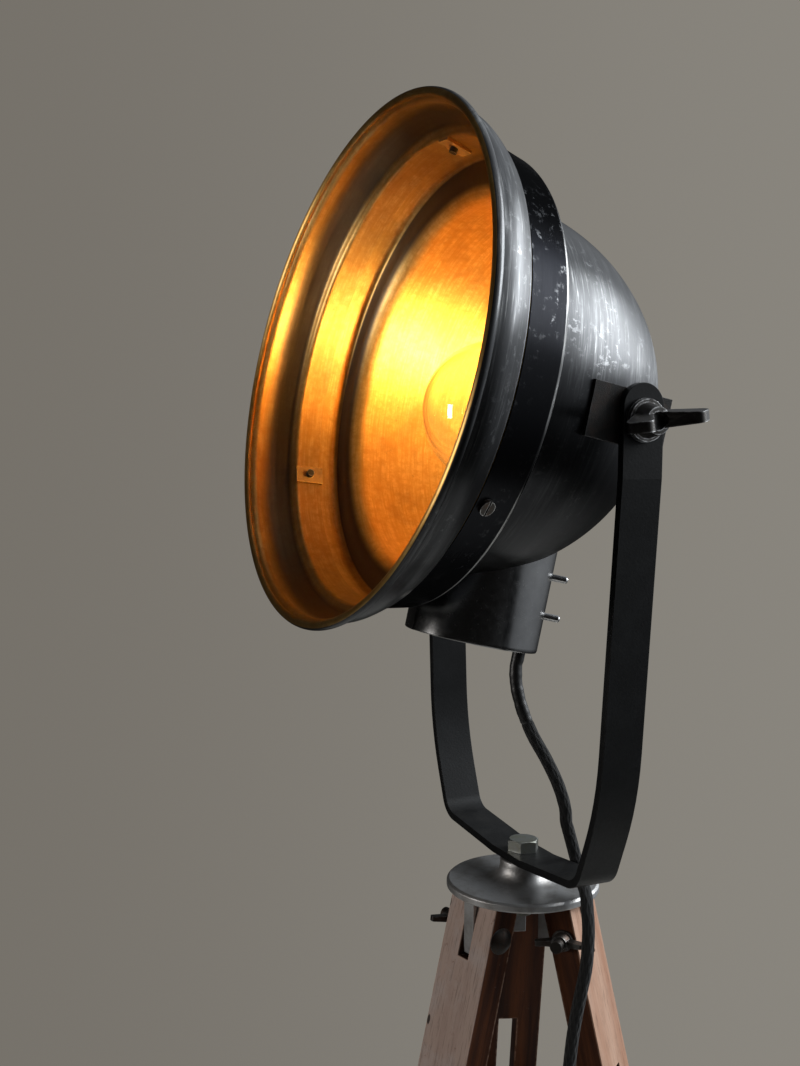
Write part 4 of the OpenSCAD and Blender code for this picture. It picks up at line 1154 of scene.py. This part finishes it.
def makeMaterials():
    made = {}
    for make, base, table in [
        (makeMetal, metalBase, metalValues),
        (makeMoulded, mouldedBase, mouldedValues),
        (makeTextile, textileBase, textileValues),
    ]:
        made.update({name: make(name, {**base, **values}) for name, values in table.items()})
    bowlRun, rollStart = runAlong(bowlPath) * millimetre, runAlong(bezelPath)[-1] * millimetre
    bowlSide = {**bowlLook, **{key: bowlRun[row] for key, row in bowlRows.items()}}
    rollSide = {**rollLook, **{key: rollStart + past for key, past in rollPast.items()}}
    made["reflector"] = makeSpun("reflector", spunValues, bowlSide)
    made["bezel"] = makeSpun("bezel", spunValues, rollSide)
    made["bulb_glass"] = makeGlass("bulb_glass", glassValues)
    made["bulb_stem"] = makeGlass("bulb_stem", stemValues)
    made["filament"] = makeGlowing("filament", filamentValues)
    for leg in legs:
        for k, half in enumerate(("upper", "lower")):
            name = f"wood_{half}_{leg}"
            seed = woodValues["seedByLeg"] * leg + woodValues["seedByHalf"] * k
            made[name] = makeWood(name, woodValues, leg, seed)
    return made


def dress(piece, paint):
    piece.data.materials.clear()
    piece.data.materials.append(paint)


paints = makeMaterials()
replaced = {**headPieces, **cordPieces, **eased}
for node, slotName in slotOf.items():
    dress(replaced.get(node, nodes[node]), paints[slotName])
dress(cordSleeve, paints["sleeve"])
print("dressed", len(slotOf), "nodes in", len(paints), "materials")

stageValues = {
    "floorRadius": 1.35, "floorSides": 96, "floorDrop": 0.0004, "floorRough": 0.75,
    "floorColour": (0.62, 0.60, 0.56, 1), "cloud": (0.5, 0.48, 0.45, 1),
    "cloudScale": 6.0, "cloudShare": 0.08,
}
worldValues = {
    "wall": (0.178, 0.164, 0.142, 1), "wallLitRight": (0.25, 0.235, 0.207, 1),
    "rightWay": (0.435, 0.90, 0.0), "rightSpread": (-0.35, 0.35),
    "low": (0.018, 0.017, 0.016, 1), "high": (1.45, 1.53, 1.62, 1),
    "brightWay": (0.20, 0.80, 0.56), "brightSpread": (0.30, 1.0), "ambient": 0.55,
}


def makeStage(s):
    turn = np.linspace(0, 2 * math.pi, s["floorSides"], endpoint=False)
    x, y = s["floorRadius"] * np.cos(turn), s["floorRadius"] * np.sin(turn)
    floor = makePiece("floor", np.stack([x, y, 0 * turn - s["floorDrop"]], -1), [list(range(len(turn)))])
    paint, tree, shader = newMaterial("paleFloor")
    cloud = use(tree, mottle, {"Scale": s["cloudScale"]})["Patches"]
    colour = colourMix(tree, times(tree, cloud, s["cloudShare"]), s["floorColour"], s["cloud"])
    fill(tree, shader, {"Base Color": colour, "Roughness": s["floorRough"]})
    dress(floor, paint)


def makeWorld(w):  # the wall for the camera and through glass, a soft window side for everything else
    world = bpy.data.worlds.new("studio")
    bpy.context.scene.world = world
    world.use_nodes = True
    tree = world.node_tree
    tree.nodes.clear()
    coords = add(tree, "TexCoord").outputs["Generated"]

    def fadeTo(way, limits, a, b):
        facing = vectorCalc(tree, "DOT_PRODUCT", coords, way, "Value")
        return colourMix(tree, spread(tree, facing, *limits), a, b)

    sky = fadeTo(w["brightWay"], w["brightSpread"], w["low"], w["high"])
    light = add(tree, "Background", None, {"Color": sky, "Strength": w["ambient"]}).outputs[0]
    # painted light: the wall seen by the camera grows lighter towards the right, where the window light falls
    wall = fadeTo(w["rightWay"], w["rightSpread"], w["wall"], w["wallLitRight"])
    seen = add(tree, "Background", None, {"Color": wall}).outputs[0]
    path = add(tree, "LightPath").outputs
    direct = calc(tree, "MAXIMUM", path["Is Camera Ray"], path["Is Transmission Ray"])
    mixed = add(tree, "MixShader", None, {0: direct, 1: light, 2: seen}).outputs[0]
    add(tree, "OutputWorld", None, {"Surface": mixed})


lampValues = {
    "window": {
        "at": (0.55, 1.75, 2.05), "aim": (0.02, 0.05, 1.20), "size": (1.4, 1.1),
        "power": 50.0, "colour": (0.93, 0.97, 1.0),
    },
    "leftFill": {
        "at": (-0.4, -1.9, 1.3), "aim": (0.02, 0.05, 1.05), "size": (0.32, 0.6),
        "power": 11.0, "colour": (1.0, 0.96, 0.92),
    },
}
glowValues = {"power": 0.42, "colour": (1.0, 0.70, 0.31), "radius": 0.010, "drop": 4.0}


def makeLamps(lamps, glow, bulb):
    for name, lamp in lamps.items():
        data = bpy.data.lights.new(name, "AREA")
        data.shape = "RECTANGLE"
        data.size, data.size_y = lamp["size"]
        data.energy = lamp["power"]
        data.color = lamp["colour"]
        light = place(name, data)
        light.location = lamp["at"]
        light.rotation_mode = "QUATERNION"
        light.rotation_quaternion = (Vector(lamp["aim"]) - Vector(lamp["at"])).to_track_quat("-Z", "Y")
    data = bpy.data.lights.new("bulbGlow", "POINT")
    data.energy = glow["power"]
    data.color = glow["colour"]
    data.shadow_soft_size = glow["radius"]
    light = place("bulbGlow", data)
    light.location = headToRow(*(np.array(v) for v in (0.0, bulb["forward"], bulb["up"] - glow["drop"])))
    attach(light, "lamp_head")
    for piece in (bulbGlobe, nodes["bulb_stem"], nodes["bulb_filament"]):
        piece.visible_shadow = False


makeStage(stageValues)
makeWorld(worldValues)
makeLamps(lampValues, glowValues, bulbValues)
bpy.context.scene.view_settings.view_transform = "Standard"
print("stage and light made")
